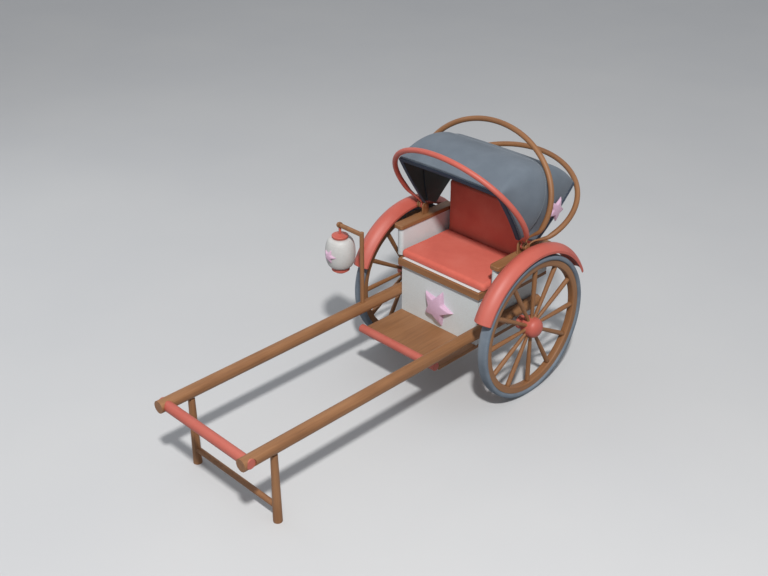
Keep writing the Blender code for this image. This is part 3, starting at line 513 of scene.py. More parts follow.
def sweep_path(path, radii, across, steps, bm=None):
    """Carry a round section along a path that lies square to the direction across."""
    bm = bm or bmesh.new()
    uv = bm.loops.layers.uv.verify()
    run, rings, lengths = 0.0, [], []
    for index, spot in enumerate(path):
        before, after = path[max(index - 1, 0)], path[min(index + 1, len(path) - 1)]
        ahead = (after - before).normalized()
        inward = ahead.cross(across).normalized()
        run += (spot - path[index - 1]).length if index else 0.0
        lengths.append(run)
        rings.append([bm.verts.new(spot + (inward * math.cos(turn) + across * math.sin(turn)) * radii[index])
                      for turn in (FULL_TURN * step / steps for step in range(steps))])
    for index in range(len(rings) - 1):
        for step in range(steps):
            after = (step + 1) % steps
            face = bm.faces.new((rings[index][step], rings[index][after],
                                 rings[index + 1][after], rings[index + 1][step]))
            girth = FULL_TURN * radii[index] / steps
            spots = ((lengths[index], step * girth), (lengths[index], (step + 1) * girth),
                     (lengths[index + 1], (step + 1) * girth), (lengths[index + 1], step * girth))
            for loop, place in zip(face.loops, spots):
                loop[uv].uv = place
    bm.faces.new(rings[0])
    bm.faces.new(rings[-1])
    return bm


# %% [markdown]
# ## Pieces that keep their solid's shape
# Boards, bars, poles and brackets have the right shape already. Each gets a
# welded copy of its solid, with edges rounded by a millimetre or two, because
# a perfectly sharp edge never catches the light and looks false.

# %% Boards, bars and brackets
KEPT = [
    # node, finish, slot, rounding in metres
    ("foot_board", wood_y, "wood", 0.003),
    ("foot_bar", coral_paint_bars, "red_paint", 0.003),
    ("box_front", white_paint, "white_paint", 0.0015),
    ("box_rear", white_paint, "white_paint", 0.0015),
    ("box_left", white_paint, "white_paint", 0.0010),
    ("box_right", white_paint, "white_paint", 0.0010),
    ("seat_deck", white_paint, "white_paint", 0.0020),
    ("seat_trim", wood_x, "wood", 0.0025),
    ("arm_rail_left", wood_y, "wood", 0.0020),
    ("arm_rail_right", wood_y, "wood", 0.0020),
    ("arm_panel_left", white_paint, "white_paint", 0.0020),
    ("arm_panel_right", white_paint, "white_paint", 0.0020),
    ("arm_cap_left", wood_y, "wood", 0.0050),
    ("arm_cap_right", wood_y, "wood", 0.0050),
    ("back_board", white_paint, "white_paint", 0.0030),
    ("shaft_left", wood_y, "wood", 0.0040),
    ("shaft_right", wood_y, "wood", 0.0040),
    ("cross_bar", coral_paint_bars, "red_paint", 0.0040),
    ("front_stand", wood_z, "wood", 0.0020),
    ("axle", turned_steel, "steel", 0.0015),
    ("axle_clip_left", blackened_iron, "iron", 0.0010),
    ("axle_clip_right", blackened_iron, "iron", 0.0010),
    ("guard_iron_left", blackened_iron, "iron", 0.0010),
    ("guard_iron_right", blackened_iron, "iron", 0.0010),
    ("hood_plate_left", wood_z, "wood", 0.0010),
    ("hood_plate_right", wood_z, "wood", 0.0010),
    ("lantern_post", wood_z, "wood", 0.0015),
]
for node_name, node_finish, node_slot, node_rounding in KEPT:
    dress(node_name, node_finish, node_rounding)
HANGER_LOOP_DROP = 0.016
hanger = dress("lantern_hanger", (coral_paint, wood_z), 0.0008)
for face in hanger.data.polygons:
    face.material_index = 1 if face.center.z > lantern_pin.z - HANGER_LOOP_DROP else 0
print("kept shapes:", len(KEPT) + 1)

# %% [markdown]
# ## Wheels
# Each wheel has a turned hub, twelve tapered spokes, a rim bent from felloes
# and a solid rubber tyre. The rim and tyre are spun from their sections. The
# spokes repeat round the axle, so a Geometry Nodes tree sets one spoke on each
# of twelve points: change the count and the wheel follows.

# %% Wheel sizes
WHEEL_RADIUS, TYRE_HALF_WIDTH, TYRE_DEPTH = 0.460, 0.034, 0.0325
RIM_OUTER, RIM_DEPTH, RIM_HALF_WIDTH, RIM_CHAMFER = 0.4272, 0.040, 0.023, 0.009
SPOKES = 12
SPOKE_HUB_RADIUS, SPOKE_RIM_RADIUS, SPOKE_SWELL = 0.0100, 0.0152, 0.0008
HUB_RADIUS, HUB_INBOARD, HUB_OUTBOARD = 0.062, 0.088, 0.069
HUB_SOCKET, RIM_SOCKET = 0.006, 0.010
ROUND_STEPS = 144


def tyre_profile():
    points, squareness, count = [], 0.62, 28
    middle = WHEEL_RADIUS - TYRE_DEPTH / 2
    for step in range(count):
        angle = FULL_TURN * step / count
        across = math.copysign(abs(math.cos(angle)) ** squareness, math.cos(angle))
        outward = math.copysign(abs(math.sin(angle)) ** squareness, math.sin(angle))
        points.append((TYRE_HALF_WIDTH * across, middle + TYRE_DEPTH / 2 * outward))
    return points


def rim_profile():
    half, cut, inner = RIM_HALF_WIDTH, RIM_CHAMFER, RIM_OUTER - RIM_DEPTH
    points = [(-half, RIM_OUTER)]
    bend = 5
    for step in range(bend + 1):
        angle = math.pi / 2 * step / bend
        points.append((-half + cut * (1 - math.cos(angle)), inner + cut * (1 - math.sin(angle))))
    for step in range(bend + 1):
        angle = math.pi / 2 * (1 - step / bend)
        points.append((half - cut * (1 - math.cos(angle)), inner + cut * (1 - math.sin(angle))))
    points.append((half, RIM_OUTER))
    return points


# %% One spoke on each of twelve points
def geometry_tree(name, inputs):
    """A node tree with a mesh input, named inputs and a mesh output; also returns its two end nodes."""
    tree = bpy.data.node_groups.new(name, "GeometryNodeTree")
    tree.interface.new_socket("Geometry", in_out="INPUT", socket_type="NodeSocketGeometry")
    for label, kind, value in inputs:
        socket = tree.interface.new_socket(label, in_out="INPUT", socket_type=kind)
        if value is not None:
            socket.default_value = value
    tree.interface.new_socket("Geometry", in_out="OUTPUT", socket_type="NodeSocketGeometry")
    return tree, tree.nodes.new("NodeGroupInput"), tree.nodes.new("NodeGroupOutput")


def add_node(tree, kind, links=None, **settings):
    made = tree.nodes.new(kind)
    for key, value in settings.items():
        setattr(made, key, value)
    for key, value in (links or {}).items():
        if isinstance(value, bpy.types.NodeSocket):
            tree.links.new(value, made.inputs[key])
        else:
            made.inputs[key].default_value = value
    return made


def run_tree(tree, source, values, name):
    """Evaluate a tree on an object and return the result as a plain mesh; the modifier goes."""
    modifier = source.modifiers.new("rule", "NODES")
    modifier.node_group = tree
    named = {item.name: item.identifier for item in tree.interface.items_tree if item.in_out == "INPUT"}
    for label, value in values.items():
        modifier[named[label]] = value
    graph = bpy.context.evaluated_depsgraph_get()
    graph.update()
    mesh = bpy.data.meshes.new_from_object(source.evaluated_get(graph))
    mesh.name = name
    source.modifiers.remove(modifier)
    return mesh


def scratch(bm, name):
    mesh = bpy.data.meshes.new(name)
    bm.to_mesh(mesh)
    bm.free()
    item = bpy.data.objects.new(name, mesh)
    bpy.context.scene.collection.objects.link(item)
    return item


def drop(*items):
    for item in items:
        bpy.data.objects.remove(item)


def make_round_tree():
    tree, given, result = geometry_tree("round_the_axle", [
        ("Count", "NodeSocketInt", 12), ("Finish", "NodeSocketMaterial", None)])
    spots = add_node(tree, "GeometryNodePoints", {"Count": given.outputs["Count"]})
    index = add_node(tree, "GeometryNodeInputIndex")
    turn = add_node(tree, "ShaderNodeMath", {0: index.outputs[0], 1: given.outputs["Count"]},
                    operation="DIVIDE")
    angle = add_node(tree, "ShaderNodeMath", {0: turn.outputs[0], 1: FULL_TURN}, operation="MULTIPLY")
    facing = add_node(tree, "ShaderNodeCombineXYZ", {"X": angle.outputs[0]})
    put = add_node(tree, "GeometryNodeInstanceOnPoints", {
        "Points": spots.outputs[0], "Instance": given.outputs["Geometry"], "Rotation": facing.outputs[0]})
    real = add_node(tree, "GeometryNodeRealizeInstances", {0: put.outputs[0]})
    dyed = add_node(tree, "GeometryNodeSetMaterial", {"Geometry": real.outputs[0],
                                                      "Material": given.outputs["Finish"]})
    tree.links.new(dyed.outputs[0], result.inputs[0])
    return tree


round_tree = make_round_tree()


def spoke_set(name, centre):
    """Twelve shaved spokes round a wheel's centre, slimmest at the hub and fullest at the rim."""
    start, end, steps = HUB_RADIUS - HUB_SOCKET, RIM_OUTER - RIM_DEPTH + RIM_SOCKET, 14
    profile = []
    for step in range(steps + 1):
        share = step / steps
        radius = SPOKE_HUB_RADIUS + (SPOKE_RIM_RADIUS - SPOKE_HUB_RADIUS) * share
        radius += SPOKE_SWELL * math.sin(math.pi * share)
        profile.append((start + (end - start) * share, radius))
    one = scratch(spin_profile(profile, Vector((0, 0, 0)), "Z", 18), "one_spoke")
    mesh = run_tree(round_tree, one, {"Count": SPOKES, "Finish": wood_spokes}, name)
    drop(one)
    mesh.transform(Matrix.Translation(centre))
    mesh.shade_smooth()
    return mesh


# %% Spin the wheels
wood_spokes = wood_finish("oiled_wood_spokes", "Y", from_map=True)
wood_rim = wood_finish("oiled_wood_felloes", "X", from_map=True)


def hub_profile(sign):
    shares = [(-1.0, 0.58), (-0.985, 0.68), (-0.95, 0.70), (-0.82, 0.70), (-0.79, 0.66), (-0.76, 0.61),
              (-0.70, 0.61), (-0.60, 0.68), (-0.50, 0.79), (-0.42, 0.92), (-0.37, 0.985), (-0.33, 1.0),
              (-0.10, 1.012), (0.10, 1.012), (0.33, 1.0)]
    points = []
    for along_share, radius_share in shares:
        reach = HUB_INBOARD if along_share < 0 else HUB_OUTBOARD
        points.append((sign * along_share * reach, radius_share * HUB_RADIUS))
    steps = 10
    for step in range(1, steps + 1):
        angle = math.pi / 2 * step / steps
        points.append((sign * (0.33 + 0.67 * math.sin(angle)) * HUB_OUTBOARD,
                       max(HUB_RADIUS * math.cos(angle), 1e-5)))
    return points


for side, sign in SIDES:
    wheel = "wheel_" + side
    centre = left_hub if sign > 0 else right_hub
    settle(spin_profile(tyre_profile(), centre, "X", ROUND_STEPS, closed=True), "tyre_ring_" + side,
           slate_rubber, wheel, ("tyre_" + side,))
    settle(spin_profile(rim_profile(), centre, "X", ROUND_STEPS, closed=True, uv_turns=2.6),
           "felloes_" + side, wood_rim, wheel, ("rim_" + side,), crease=50.0)
    carry(bpy.data.objects.new("spokes_" + side, spoke_set("spokes_" + side, centre)), wheel,
          ("rim_" + side,))
    settle(spin_profile(hub_profile(sign), centre, "X", 64), "turned_hub_" + side, coral_paint, wheel,
           ("hub_" + side,))
print("wheels: 2, spokes:", 2 * SPOKES)

# %% [markdown]
# ## Mudguards
# Each mudguard is a crowned band over its wheel, thick enough to show a rounded
# edge. It could be a plain arc with Solidify, but the crown matters more than
# anything else here, so both skins are swept round the axle from a section
# whose top is part of a parabola, and a bevel then rounds all its edges.

# %% Mudguard sizes
GUARD_INNER, GUARD_OUTER = 0.438, 0.555
GUARD_EDGE_RADIUS, GUARD_CROWN_RADIUS, GUARD_SHEET = 0.492, 0.527, 0.018
GUARD_FRONT, GUARD_REAR = math.radians(23.7), math.radians(153.0)
GUARD_ROUND, GUARD_ACROSS = 84, 16


def guard_point(across, drop_in, angle, sign):
    half = (GUARD_OUTER - GUARD_INNER) / 2
    share = (across - (GUARD_INNER + half)) / half
    radius = GUARD_EDGE_RADIUS + (GUARD_CROWN_RADIUS - GUARD_EDGE_RADIUS) * (1 - share ** 2) - drop_in
    return Vector((middle_x + sign * across, axle_y - radius * math.cos(angle),
                   axle_z + radius * math.sin(angle)))


def mudguard(side, sign):
    bm = bmesh.new()
    rings = []
    places = [GUARD_INNER + (GUARD_OUTER - GUARD_INNER) * i / GUARD_ACROSS for i in range(GUARD_ACROSS + 1)]
    for step in range(GUARD_ROUND + 1):
        angle = GUARD_FRONT + (GUARD_REAR - GUARD_FRONT) * step / GUARD_ROUND
        outer = [guard_point(place, 0.0, angle, sign) for place in places]
        inner = [guard_point(place, GUARD_SHEET, angle, sign) for place in reversed(places)]
        rings.append([bm.verts.new(point) for point in outer + inner])
    count = len(rings[0])
    for first, second in zip(rings, rings[1:]):
        for step in range(count):
            after = (step + 1) % count
            bm.faces.new((first[step], first[after], second[after], second[step]))
    for ring in (rings[0], rings[-1]):
        for step in range(GUARD_ACROSS):
            bm.faces.new((ring[step], ring[step + 1], ring[count - 2 - step], ring[count - 1 - step]))
    piece = settle(bm, "mudguard_band_" + side, coral_paint, "frame", ("mudguard_" + side,))
    soften(piece, 0.0055, 4, 50.0)


for side, sign in SIDES:
    mudguard(side, sign)

# %% [markdown]
# ## Bows
# The hood hangs on three horseshoe bows. Each is a bent stick that tapers to
# a forged eye on the pin. The path is half an ellipse that narrows towards its
# feet, so it is worked out from the bow's width and reach and then swept.

# %% Bow sizes
BOWS = [
    # name, degrees back from upright, half width at the foot and at the widest, reach, body, finish, slot
    ("bow_front", -31.5, 0.400, 0.488, 0.638, "hood_front", coral_paint, "red_paint"),
    ("bow_mid", 18.8, 0.4155, 0.511, 0.638, "hood_mid", wood_bent, "wood"),
    ("bow_rear", 62.9, 0.431, 0.530, 0.693, "frame", wood_bent, "wood"),
]
BOW_RADIUS, BOW_FOOT_RADIUS = 0.0165, 0.0045
EYE_RADIUS, EYE_THICKNESS, EYE_EMBED = 0.022, 0.010, 0.016
LEG_START, LEG_END, TAPER_END = 0.028, 0.120, 0.160
PIN_RADIUS = 0.0128


def eased(value):
    value = min(max(value, 0.0), 1.0)
    return value * value * (3 - 2 * value)


def bow_heights(foot, widest, reach):
    waist = math.sqrt(1 - (foot / widest) ** 2)
    half_height = reach / (1 + waist)
    middle = half_height * waist
    leg_steps, arch_steps = 16, 96
    leg = []
    for step in range(leg_steps + 1):
        height = EYE_EMBED + (LEG_END - EYE_EMBED) * step / leg_steps
        full = widest * math.sqrt(1 - ((height - middle) / half_height) ** 2)
        leg.append((foot + (full - foot) * eased((height - LEG_START) / (LEG_END - LEG_START)), height))
    start = math.asin((LEG_END - middle) / half_height)
    arch = []
    for step in range(1, arch_steps):
        angle = start + (math.pi - 2 * start) * step / arch_steps
        arch.append((widest * math.cos(angle), middle + half_height * math.sin(angle)))
    return leg + arch + [(-x, height) for x, height in reversed(leg)]


def bow(name, degrees, foot, widest, reach, body, finish, slot):
    angle = math.radians(degrees)
    up = Vector((0, math.sin(angle), math.cos(angle)))
    across = Vector((0, math.cos(angle), -math.sin(angle)))
    centre = Vector((middle_x, hood_pin.y, hood_pin.z))
    line = bow_heights(foot, widest, reach)
    path = [centre + Vector((x, 0, 0)) + up * height for x, height in line]
    radii = [BOW_FOOT_RADIUS + (BOW_RADIUS - BOW_FOOT_RADIUS)
             * eased((height - LEG_START) / (TAPER_END - LEG_START)) for _, height in line]
    bm = sweep_path(path, radii, across, 20)
    for sign in (1, -1):
        eye_centre = centre + Vector((sign * foot, 0, 0))
        half = EYE_THICKNESS / 2
        ring = spin_profile([(-half, PIN_RADIUS), (-half, EYE_RADIUS - 0.002), (-half + 0.002, EYE_RADIUS),
                             (half - 0.002, EYE_RADIUS), (half, EYE_RADIUS - 0.002), (half, PIN_RADIUS)],
                            eye_centre, "X", 36, closed=True)
        extra = bpy.data.meshes.new("eye")
        ring.to_mesh(extra)
        ring.free()
        bm.from_mesh(extra)
        bpy.data.meshes.remove(extra)
    settle(bm, "bent_" + name, finish, body, (name,))


for row in BOWS:
    bow(*row)

# %% [markdown]
# ## Canopy
# The hood's canvas is stretched from the front bow over the middle one to the
# rear one. It could be modelled as flat panels, but cloth under pull is one
# smooth curved sheet. Its section changes from bow to bow: nearly square at
# the front and at the back, and a barrel in the middle. So a few stations are
# written down, a curve without overshoot runs through their numbers, and the
# section at any angle follows. The front and rear sheets overlap under the
# middle bow, where they are sewn. A dark navy band along their edges is
# painted shade, where the cloth turns away from the light.

# %% Canopy stations
HOOD_PLATE_OUTER = 0.386
STATIONS = [
    # degrees back, half width at hem and corner beyond the hood plate, corner's reach, bulge, crown, rounding
    (-31.5, -0.001, 0.0062, 0.4562, 0.010, 0.010, 0.020),
    (-6.0, -0.001, 0.0180, 0.474, 0.048, 0.010, 0.090),
    (17.0, -0.001, 0.0222, 0.488, 0.070, 0.004, 0.140),
    (18.8, -0.001, 0.0222, 0.488, 0.070, 0.004, 0.140),
    (38.0, 0.016, 0.0270, 0.512, 0.046, 0.006, 0.080),
    (61.5, 0.030, 0.0298, 0.5418, 0.010, 0.006, 0.030),
]
LEAST_ROUND, ROOF_ROUND, CLOTH_THICKNESS = 0.002, 0.72, 0.0080
# back and up from the pin: where the lower hem starts, and the rear edge's lower and upper ends
HEM_START, REAR_FOOT, REAR_CORNER = (0.0106, 0.0344), (0.122, -0.022), (0.4654, 0.2527)
SIDE_POINTS, CORNER_POINTS, ROOF_POINTS = 20, 10, 18
# degrees back between which the straight rear edge is looked for
REAR_EDGE_FIRST, REAR_EDGE_LAST = 40.0, 101.0


def station_at(degrees):
    """Numbers of the section at an angle: cubic pieces whose slopes never overshoot the stations."""
    rows = STATIONS
    index = max(i for i in range(len(rows) - 1) if degrees >= rows[i][0] or i == 0)
    low, high = rows[index], rows[index + 1]
    span = high[0] - low[0]
    share = min(max((degrees - low[0]) / span, 0.0), 1.0)
    result = []
    for column in range(1, 7):
        def rate(i):
            return (rows[i + 1][column] - rows[i][column]) / (rows[i + 1][0] - rows[i][0])

        def slope(i):
            if i == 0 or i == len(rows) - 1:
                return rate(min(i, len(rows) - 2))
            before, after = rate(i - 1), rate(i)
            return 0.0 if before * after <= 0 else 2 * before * after / (before + after)
        s2, s3 = share ** 2, share ** 3
        result.append((2 * s3 - 3 * s2 + 1) * low[column] + (s3 - 2 * s2 + share) * slope(index) * span
                      + (3 * s2 - 2 * s3) * high[column] + (s3 - s2) * slope(index + 1) * span)
    return result


def hem_height(degrees):
    """Reach of the lower hem from the pin: an arc in front, then a straight line to the rear foot."""
    start_angle = math.atan2(*HEM_START)
    if math.radians(degrees) <= start_angle:
        return math.hypot(*HEM_START)
    run, fall = REAR_FOOT[0] - HEM_START[0], REAR_FOOT[1] - HEM_START[1]
    angle = math.radians(degrees)
    return ((run * HEM_START[1] - fall * HEM_START[0])
            / (run * math.cos(angle) - fall * math.sin(angle)))


def half_section(degrees, depth):
    """Half a section, depth inside the cloth's outside: side, rounded corner and roof, from hem to middle."""
    hem, corner_x, reach, bulge, crown, rounding = station_at(degrees)
    low = hem_height(degrees)
    hem, corner_x, reach = hem + HOOD_PLATE_OUTER - depth, corner_x + HOOD_PLATE_OUTER - depth, reach - depth
    rounding = max(rounding - depth, LEAST_ROUND)
    side_end = 1 - rounding / (reach - low)
    roof_start = max(rounding * ROOF_ROUND, LEAST_ROUND) / corner_x

    def on_side(share):
        return Vector((hem + (corner_x - hem) * share + bulge * math.sin(math.pi * share),
                       low + (reach - low) * share))

    def on_roof(share):
        return Vector((corner_x * (1 - share), reach + crown * math.sin(math.pi / 2 * share)))

    start, finish = on_side(side_end), on_roof(roof_start)
    rising = on_side(side_end) - on_side(side_end - 0.01)
    knee = start + rising * ((finish.y - start.y) / rising.y)
    points = [on_side(side_end * step / SIDE_POINTS) for step in range(SIDE_POINTS)]
    for step in range(CORNER_POINTS + 1):
        share = step / CORNER_POINTS
        points.append(start * (1 - share) ** 2 + knee * (2 * share * (1 - share)) + finish * share ** 2)
    roof_shares = [roof_start + (1 - roof_start) * step / ROOF_POINTS for step in range(1, ROOF_POINTS + 1)]
    return points + [on_roof(share) for share in roof_shares]


def whole_section(degrees, depth):
    half = half_section(degrees, depth)
    return [(p.x, p.y) for p in half] + [(-p.x, p.y) for p in reversed(half[:-1])]


def canopy_point(degrees, x, height):
    angle = math.radians(degrees)
    return Vector((middle_x + x, hood_pin.y + height * math.sin(angle),
                   hood_pin.z + height * math.cos(angle)))


COLUMNS = 2 * (SIDE_POINTS + CORNER_POINTS + ROOF_POINTS) + 1
print("points across a canopy section:", COLUMNS)


# %% [markdown]
# Seen from the side, the hood's rear edge is a straight line from the rear bow
# down to a point behind the pin, so every column of the grid ends at its own
# angle, which is found by halving. The dark edge band, which is painted shade,
# has the same width all along the edge, and near the pin that covers more
# degrees. So each column also has its own row angles: even steps up to the
# band, and a few across it.


# %% A grid of points with a shaped edge and a band of painted shade
def section_reader(low, high, depth, fine=110):
    """Reads any column of the section at any angle, between finely spaced sections."""
    table = [whole_section(low + (high - low) * step / fine, depth) for step in range(fine + 1)]

    def read(degrees, column):
        spot = min(max((degrees - low) / (high - low), 0.0), 1.0) * fine
        index = min(int(spot), fine - 1)
        (x0, h0), (x1, h1) = table[index][column], table[index + 1][column]
        return x0 + (x1 - x0) * (spot - index), h0 + (h1 - h0) * (spot - index)
    return read


def straight_rear_edge(read, column):
    """The angle at which a column meets the straight rear edge."""
    low, high = REAR_EDGE_FIRST, REAR_EDGE_LAST
    for _ in range(26):
        middle = (low + high) / 2
        height = read(middle, column)[1]
        back, rise = height * math.sin(math.radians(middle)), height * math.cos(math.radians(middle))
        behind = ((back - REAR_FOOT[0]) * (REAR_CORNER[1] - REAR_FOOT[1])
                  - (rise - REAR_FOOT[1]) * (REAR_CORNER[0] - REAR_FOOT[0]))
        low, high = (low, middle) if behind > 0 else (middle, high)
    return (low + high) / 2


def row_angles(first, steps, band, ends, heights, band_steps=3):
    """For each column, its row angles from first to its end, with the last rows a band wide."""
    columns = []
    for end, height in zip(ends, heights):
        turn = math.degrees(min(band / max(height, 0.02), math.radians(abs(end - first) * 0.3)))
        edge = end - math.copysign(turn, end - first)
        columns.append([first + (edge - first) * step / steps for step in range(steps + 1)]
                       + [edge + (end - edge) * step / band_steps for step in range(1, band_steps + 1)])
    return columns


def canopy_grid(read, angles):
    return [[canopy_point(column[row], *read(column[row], index)) for index, column in enumerate(angles)]
            for row in range(len(angles[0]))]


# %% Sew the sheets
def canopy_sheet(first, last, steps, depth, band, rear_edge=False):
    """A closed sheet of cloth with its lining, darkened as painted shade, and an edge band of painted shade; the
    UV map is in metres.
    """
    low, high = min(first, last), REAR_EDGE_LAST if rear_edge else max(first, last)
    read, read_inside = (section_reader(low, high, d) for d in (depth, depth + CLOTH_THICKNESS))
    ends = [straight_rear_edge(read, column) if rear_edge else last for column in range(COLUMNS)]
    heights = [read(end, column)[1] for column, end in enumerate(ends)]
    angles = row_angles(first, steps, band, ends, heights)
    outer, inner = canopy_grid(read, angles), canopy_grid(read_inside, angles)
    bm = bmesh.new()
    uv = bm.loops.layers.uv.new("map")
    skins = [[[bm.verts.new(point) for point in row] for row in rows] for rows in (outer, inner)]
    middle, last_row = COLUMNS // 2, len(outer) - 1
    around, fore = [0.0], [0.0]
    for one, other in zip(outer[0], outer[0][1:]):
        around.append(around[-1] + (other - one).length)
    for one, other in zip(outer, outer[1:]):
        fore.append(fore[-1] + (other[middle] - one[middle]).length)
    area = 0.0
    for skin_index, skin in enumerate(skins):
        for row in range(last_row):
            for column in range(COLUMNS - 1):
                corners = [(row, column), (row, column + 1), (row + 1, column + 1), (row + 1, column)]
                if skin_index:
                    corners.reverse()
                face = bm.faces.new([skin[r][c] for r, c in corners])
                # rows past the even steps take the dark band, painted shade along the edge
                face.material_index = skin_index if skin_index else (2 if row >= steps else 0)
                for loop, (r, c) in zip(face.loops, corners):
                    loop[uv].uv = (around[c], fore[r])
                if not skin_index:
                    area += face.calc_area()
    edge = [(0, c) for c in range(COLUMNS)] + [(r, COLUMNS - 1) for r in range(1, last_row + 1)]
    edge += [(last_row, c) for c in range(COLUMNS - 2, -1, -1)] + [(r, 0) for r in range(last_row - 1, 0, -1)]
    # the cloth's cut edge takes the dark band's painted shade too
    for index, (r, c) in enumerate(edge):
        r2, c2 = edge[(index + 1) % len(edge)]
        face = bm.faces.new((skins[0][r2][c2], skins[0][r][c], skins[1][r][c], skins[1][r2][c2]))
        face.material_index = 2
    return bm, area, around[-1], fore[-1], outer


# first and last degrees; the last is the edge that carries the band of painted shade
FRONT_SPAN, REAR_SPAN = (18.7, -31.5), (14.6, 61.5)
FRONT_DEPTH, REAR_DEPTH = 0.0008, 0.0102
# widths of the dark edge bands of painted shade
FRONT_BAND, REAR_BAND = 0.010, 0.028
FRONT_STEPS, REAR_STEPS = 28, 26
front_bm, front_area, front_wide, front_long, front_rows = canopy_sheet(
    *FRONT_SPAN, FRONT_STEPS, FRONT_DEPTH, FRONT_BAND)
rear_bm, rear_area, rear_wide, rear_long, rear_rows = canopy_sheet(
    *REAR_SPAN, REAR_STEPS, REAR_DEPTH, REAR_BAND, rear_edge=True)
canopy_front = settle(front_bm, "canopy_front_sheet", (canvas, lining_and_painted_shade, painted_shade_band), None,
                      ("canopy_front",), 45.0)
canopy_rear = settle(rear_bm, "canopy_rear_sheet", (canvas, lining_and_painted_shade, painted_shade_band), None,
                     ("canopy_rear",), 45.0)
print("canvas:", round(front_area, 3), round(rear_area, 3), "square metres")

# %% [markdown]
# Behind the front bow the canvas turns inward and down as a stiff facing,
# about as deep as two fingers. Its dark navy is painted shade, the colour of
# the edge band. It is a strip between two copies of the front section, one at
# the cloth and one deeper in.

# %% Front facing
FACING_DEPTH, FACING_TURN = 0.026, 0.55


def facing(name, degrees, shallow, deep, turn):
    """A closed strip that stands square to the cloth along the section at an angle."""
    bm = bmesh.new()
    rings = []
    later = degrees + turn
    for angle, depth in ((degrees, shallow), (degrees, deep), (later, deep), (later, shallow)):
        section = whole_section(angle, depth)
        rings.append([bm.verts.new(canopy_point(angle, x, height)) for x, height in section])
    for first, second in zip(rings, rings[1:] + rings[:1]):
        for column in range(COLUMNS - 1):
            bm.faces.new((first[column], first[column + 1], second[column + 1], second[column]))
    for column in (0, COLUMNS - 1):
        bm.faces.new([ring[column] for ring in rings])
    # the facing takes the dark band colour, painted shade
    return settle(bm, name, painted_shade_band, None, (), 45.0)


front_facing = facing("canopy_front_facing", FRONT_SPAN[1] + 0.1, FRONT_DEPTH + CLOTH_THICKNESS * 0.5,
                      FRONT_DEPTH + FACING_DEPTH, FACING_TURN)

# %% [markdown]
# The canvas crosses the hood's hinges. Each sheet, and whatever is sewn to
# it, only has its placement baked into its mesh; it rides on no body, so it
# does not turn when the hood folds.

# %% Bake the canvas's placement
BEND_REACH = 0.17


def bend(piece, span, body_a, body_b):
    """Bake the piece's placement into its mesh; it is not turned, and body_a and body_b are not used."""
    middle = math.radians(sum(span) / 2)
    square = Vector((0, math.cos(middle), -math.sin(middle))) * math.copysign(BEND_REACH, span[1] - span[0])
    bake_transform(piece)


bend(canopy_front, FRONT_SPAN, "hood_mid", "hood_front")
bend(front_facing, FRONT_SPAN, "hood_mid", "hood_front")
bend(canopy_rear, REAR_SPAN, "hood_mid", "frame")

# %% [markdown]
# ## Stitches
# Lines of stitches run along the dark edge band of painted shade, the lap
# under the middle bow and the facing. One stitch is a short bead of thread; a
# Geometry Nodes tree sets it at even steps along the seam's curve, lying along
# it. Change the step, and the seam is sewn finer or coarser.


# %% A tree that sews along a curve
def make_seam_tree():
    tree, given, result = geometry_tree("stitches_along_a_seam", [
        ("Step", "NodeSocketFloat", 0.010), ("Length", "NodeSocketFloat", 0.0062),
        ("Thickness", "NodeSocketFloat", 0.0009), ("Finish", "NodeSocketMaterial", None)])
    line = add_node(tree, "GeometryNodeMeshToCurve", {"Mesh": given.outputs["Geometry"]})
    even = add_node(tree, "GeometryNodeResampleCurve",
                    {"Curve": line.outputs[0], "Length": given.outputs["Step"]}, mode="LENGTH")
    spots = add_node(tree, "GeometryNodeCurveToPoints", {"Curve": even.outputs[0]}, mode="EVALUATED")
    half = add_node(tree, "ShaderNodeMath", {0: given.outputs["Length"], 1: 0.5}, operation="MULTIPLY")
    bead = add_node(tree, "GeometryNodeMeshUVSphere", {"Segments": 6, "Rings": 5, "Radius": 1.0})
    thick = given.outputs["Thickness"]
    shape = add_node(tree, "ShaderNodeCombineXYZ", {"X": thick, "Y": thick, "Z": half.outputs[0]})
    put = add_node(tree, "GeometryNodeInstanceOnPoints", {
        "Points": spots.outputs["Points"], "Instance": bead.outputs[0], "Rotation": spots.outputs["Rotation"],
        "Scale": shape.outputs[0]})
    real = add_node(tree, "GeometryNodeRealizeInstances", {0: put.outputs[0]})
    dyed = add_node(tree, "GeometryNodeSetMaterial", {"Geometry": real.outputs[0],
                                                      "Material": given.outputs["Finish"]})
    tree.links.new(dyed.outputs[0], result.inputs[0])
    return tree


seam_tree = make_seam_tree()


def seam(name, runs, finish, body=None, step=0.010, length=0.0062, thickness=0.0009):
    """Stitches along one or more runs of points."""
    bm = bmesh.new()
    for run in runs:
        spots = [bm.verts.new(point) for point in run]
        for one, other in zip(spots, spots[1:]):
            bm.edges.new((one, other))
    line = scratch(bm, name + "_line")
    values = {"Step": step, "Length": length, "Thickness": thickness, "Finish": finish}
    mesh = run_tree(seam_tree, line, values, name)
    drop(line)
    mesh.shade_smooth()
    return carry(bpy.data.objects.new(name, mesh), body)


# %% Sew the canopy
def between_rows(rows, row, share, lift=0.0003):
    """A line on the cloth between two rows of its grid, lifted a little off it."""
    centre = Vector((middle_x, hood_pin.y, hood_pin.z + 0.15))
    points = []
    for one, other in zip(rows[row], rows[row + 1]):
        spot = one.lerp(other, share)
        points.append(spot + (spot - centre).normalized() * lift)
    return points


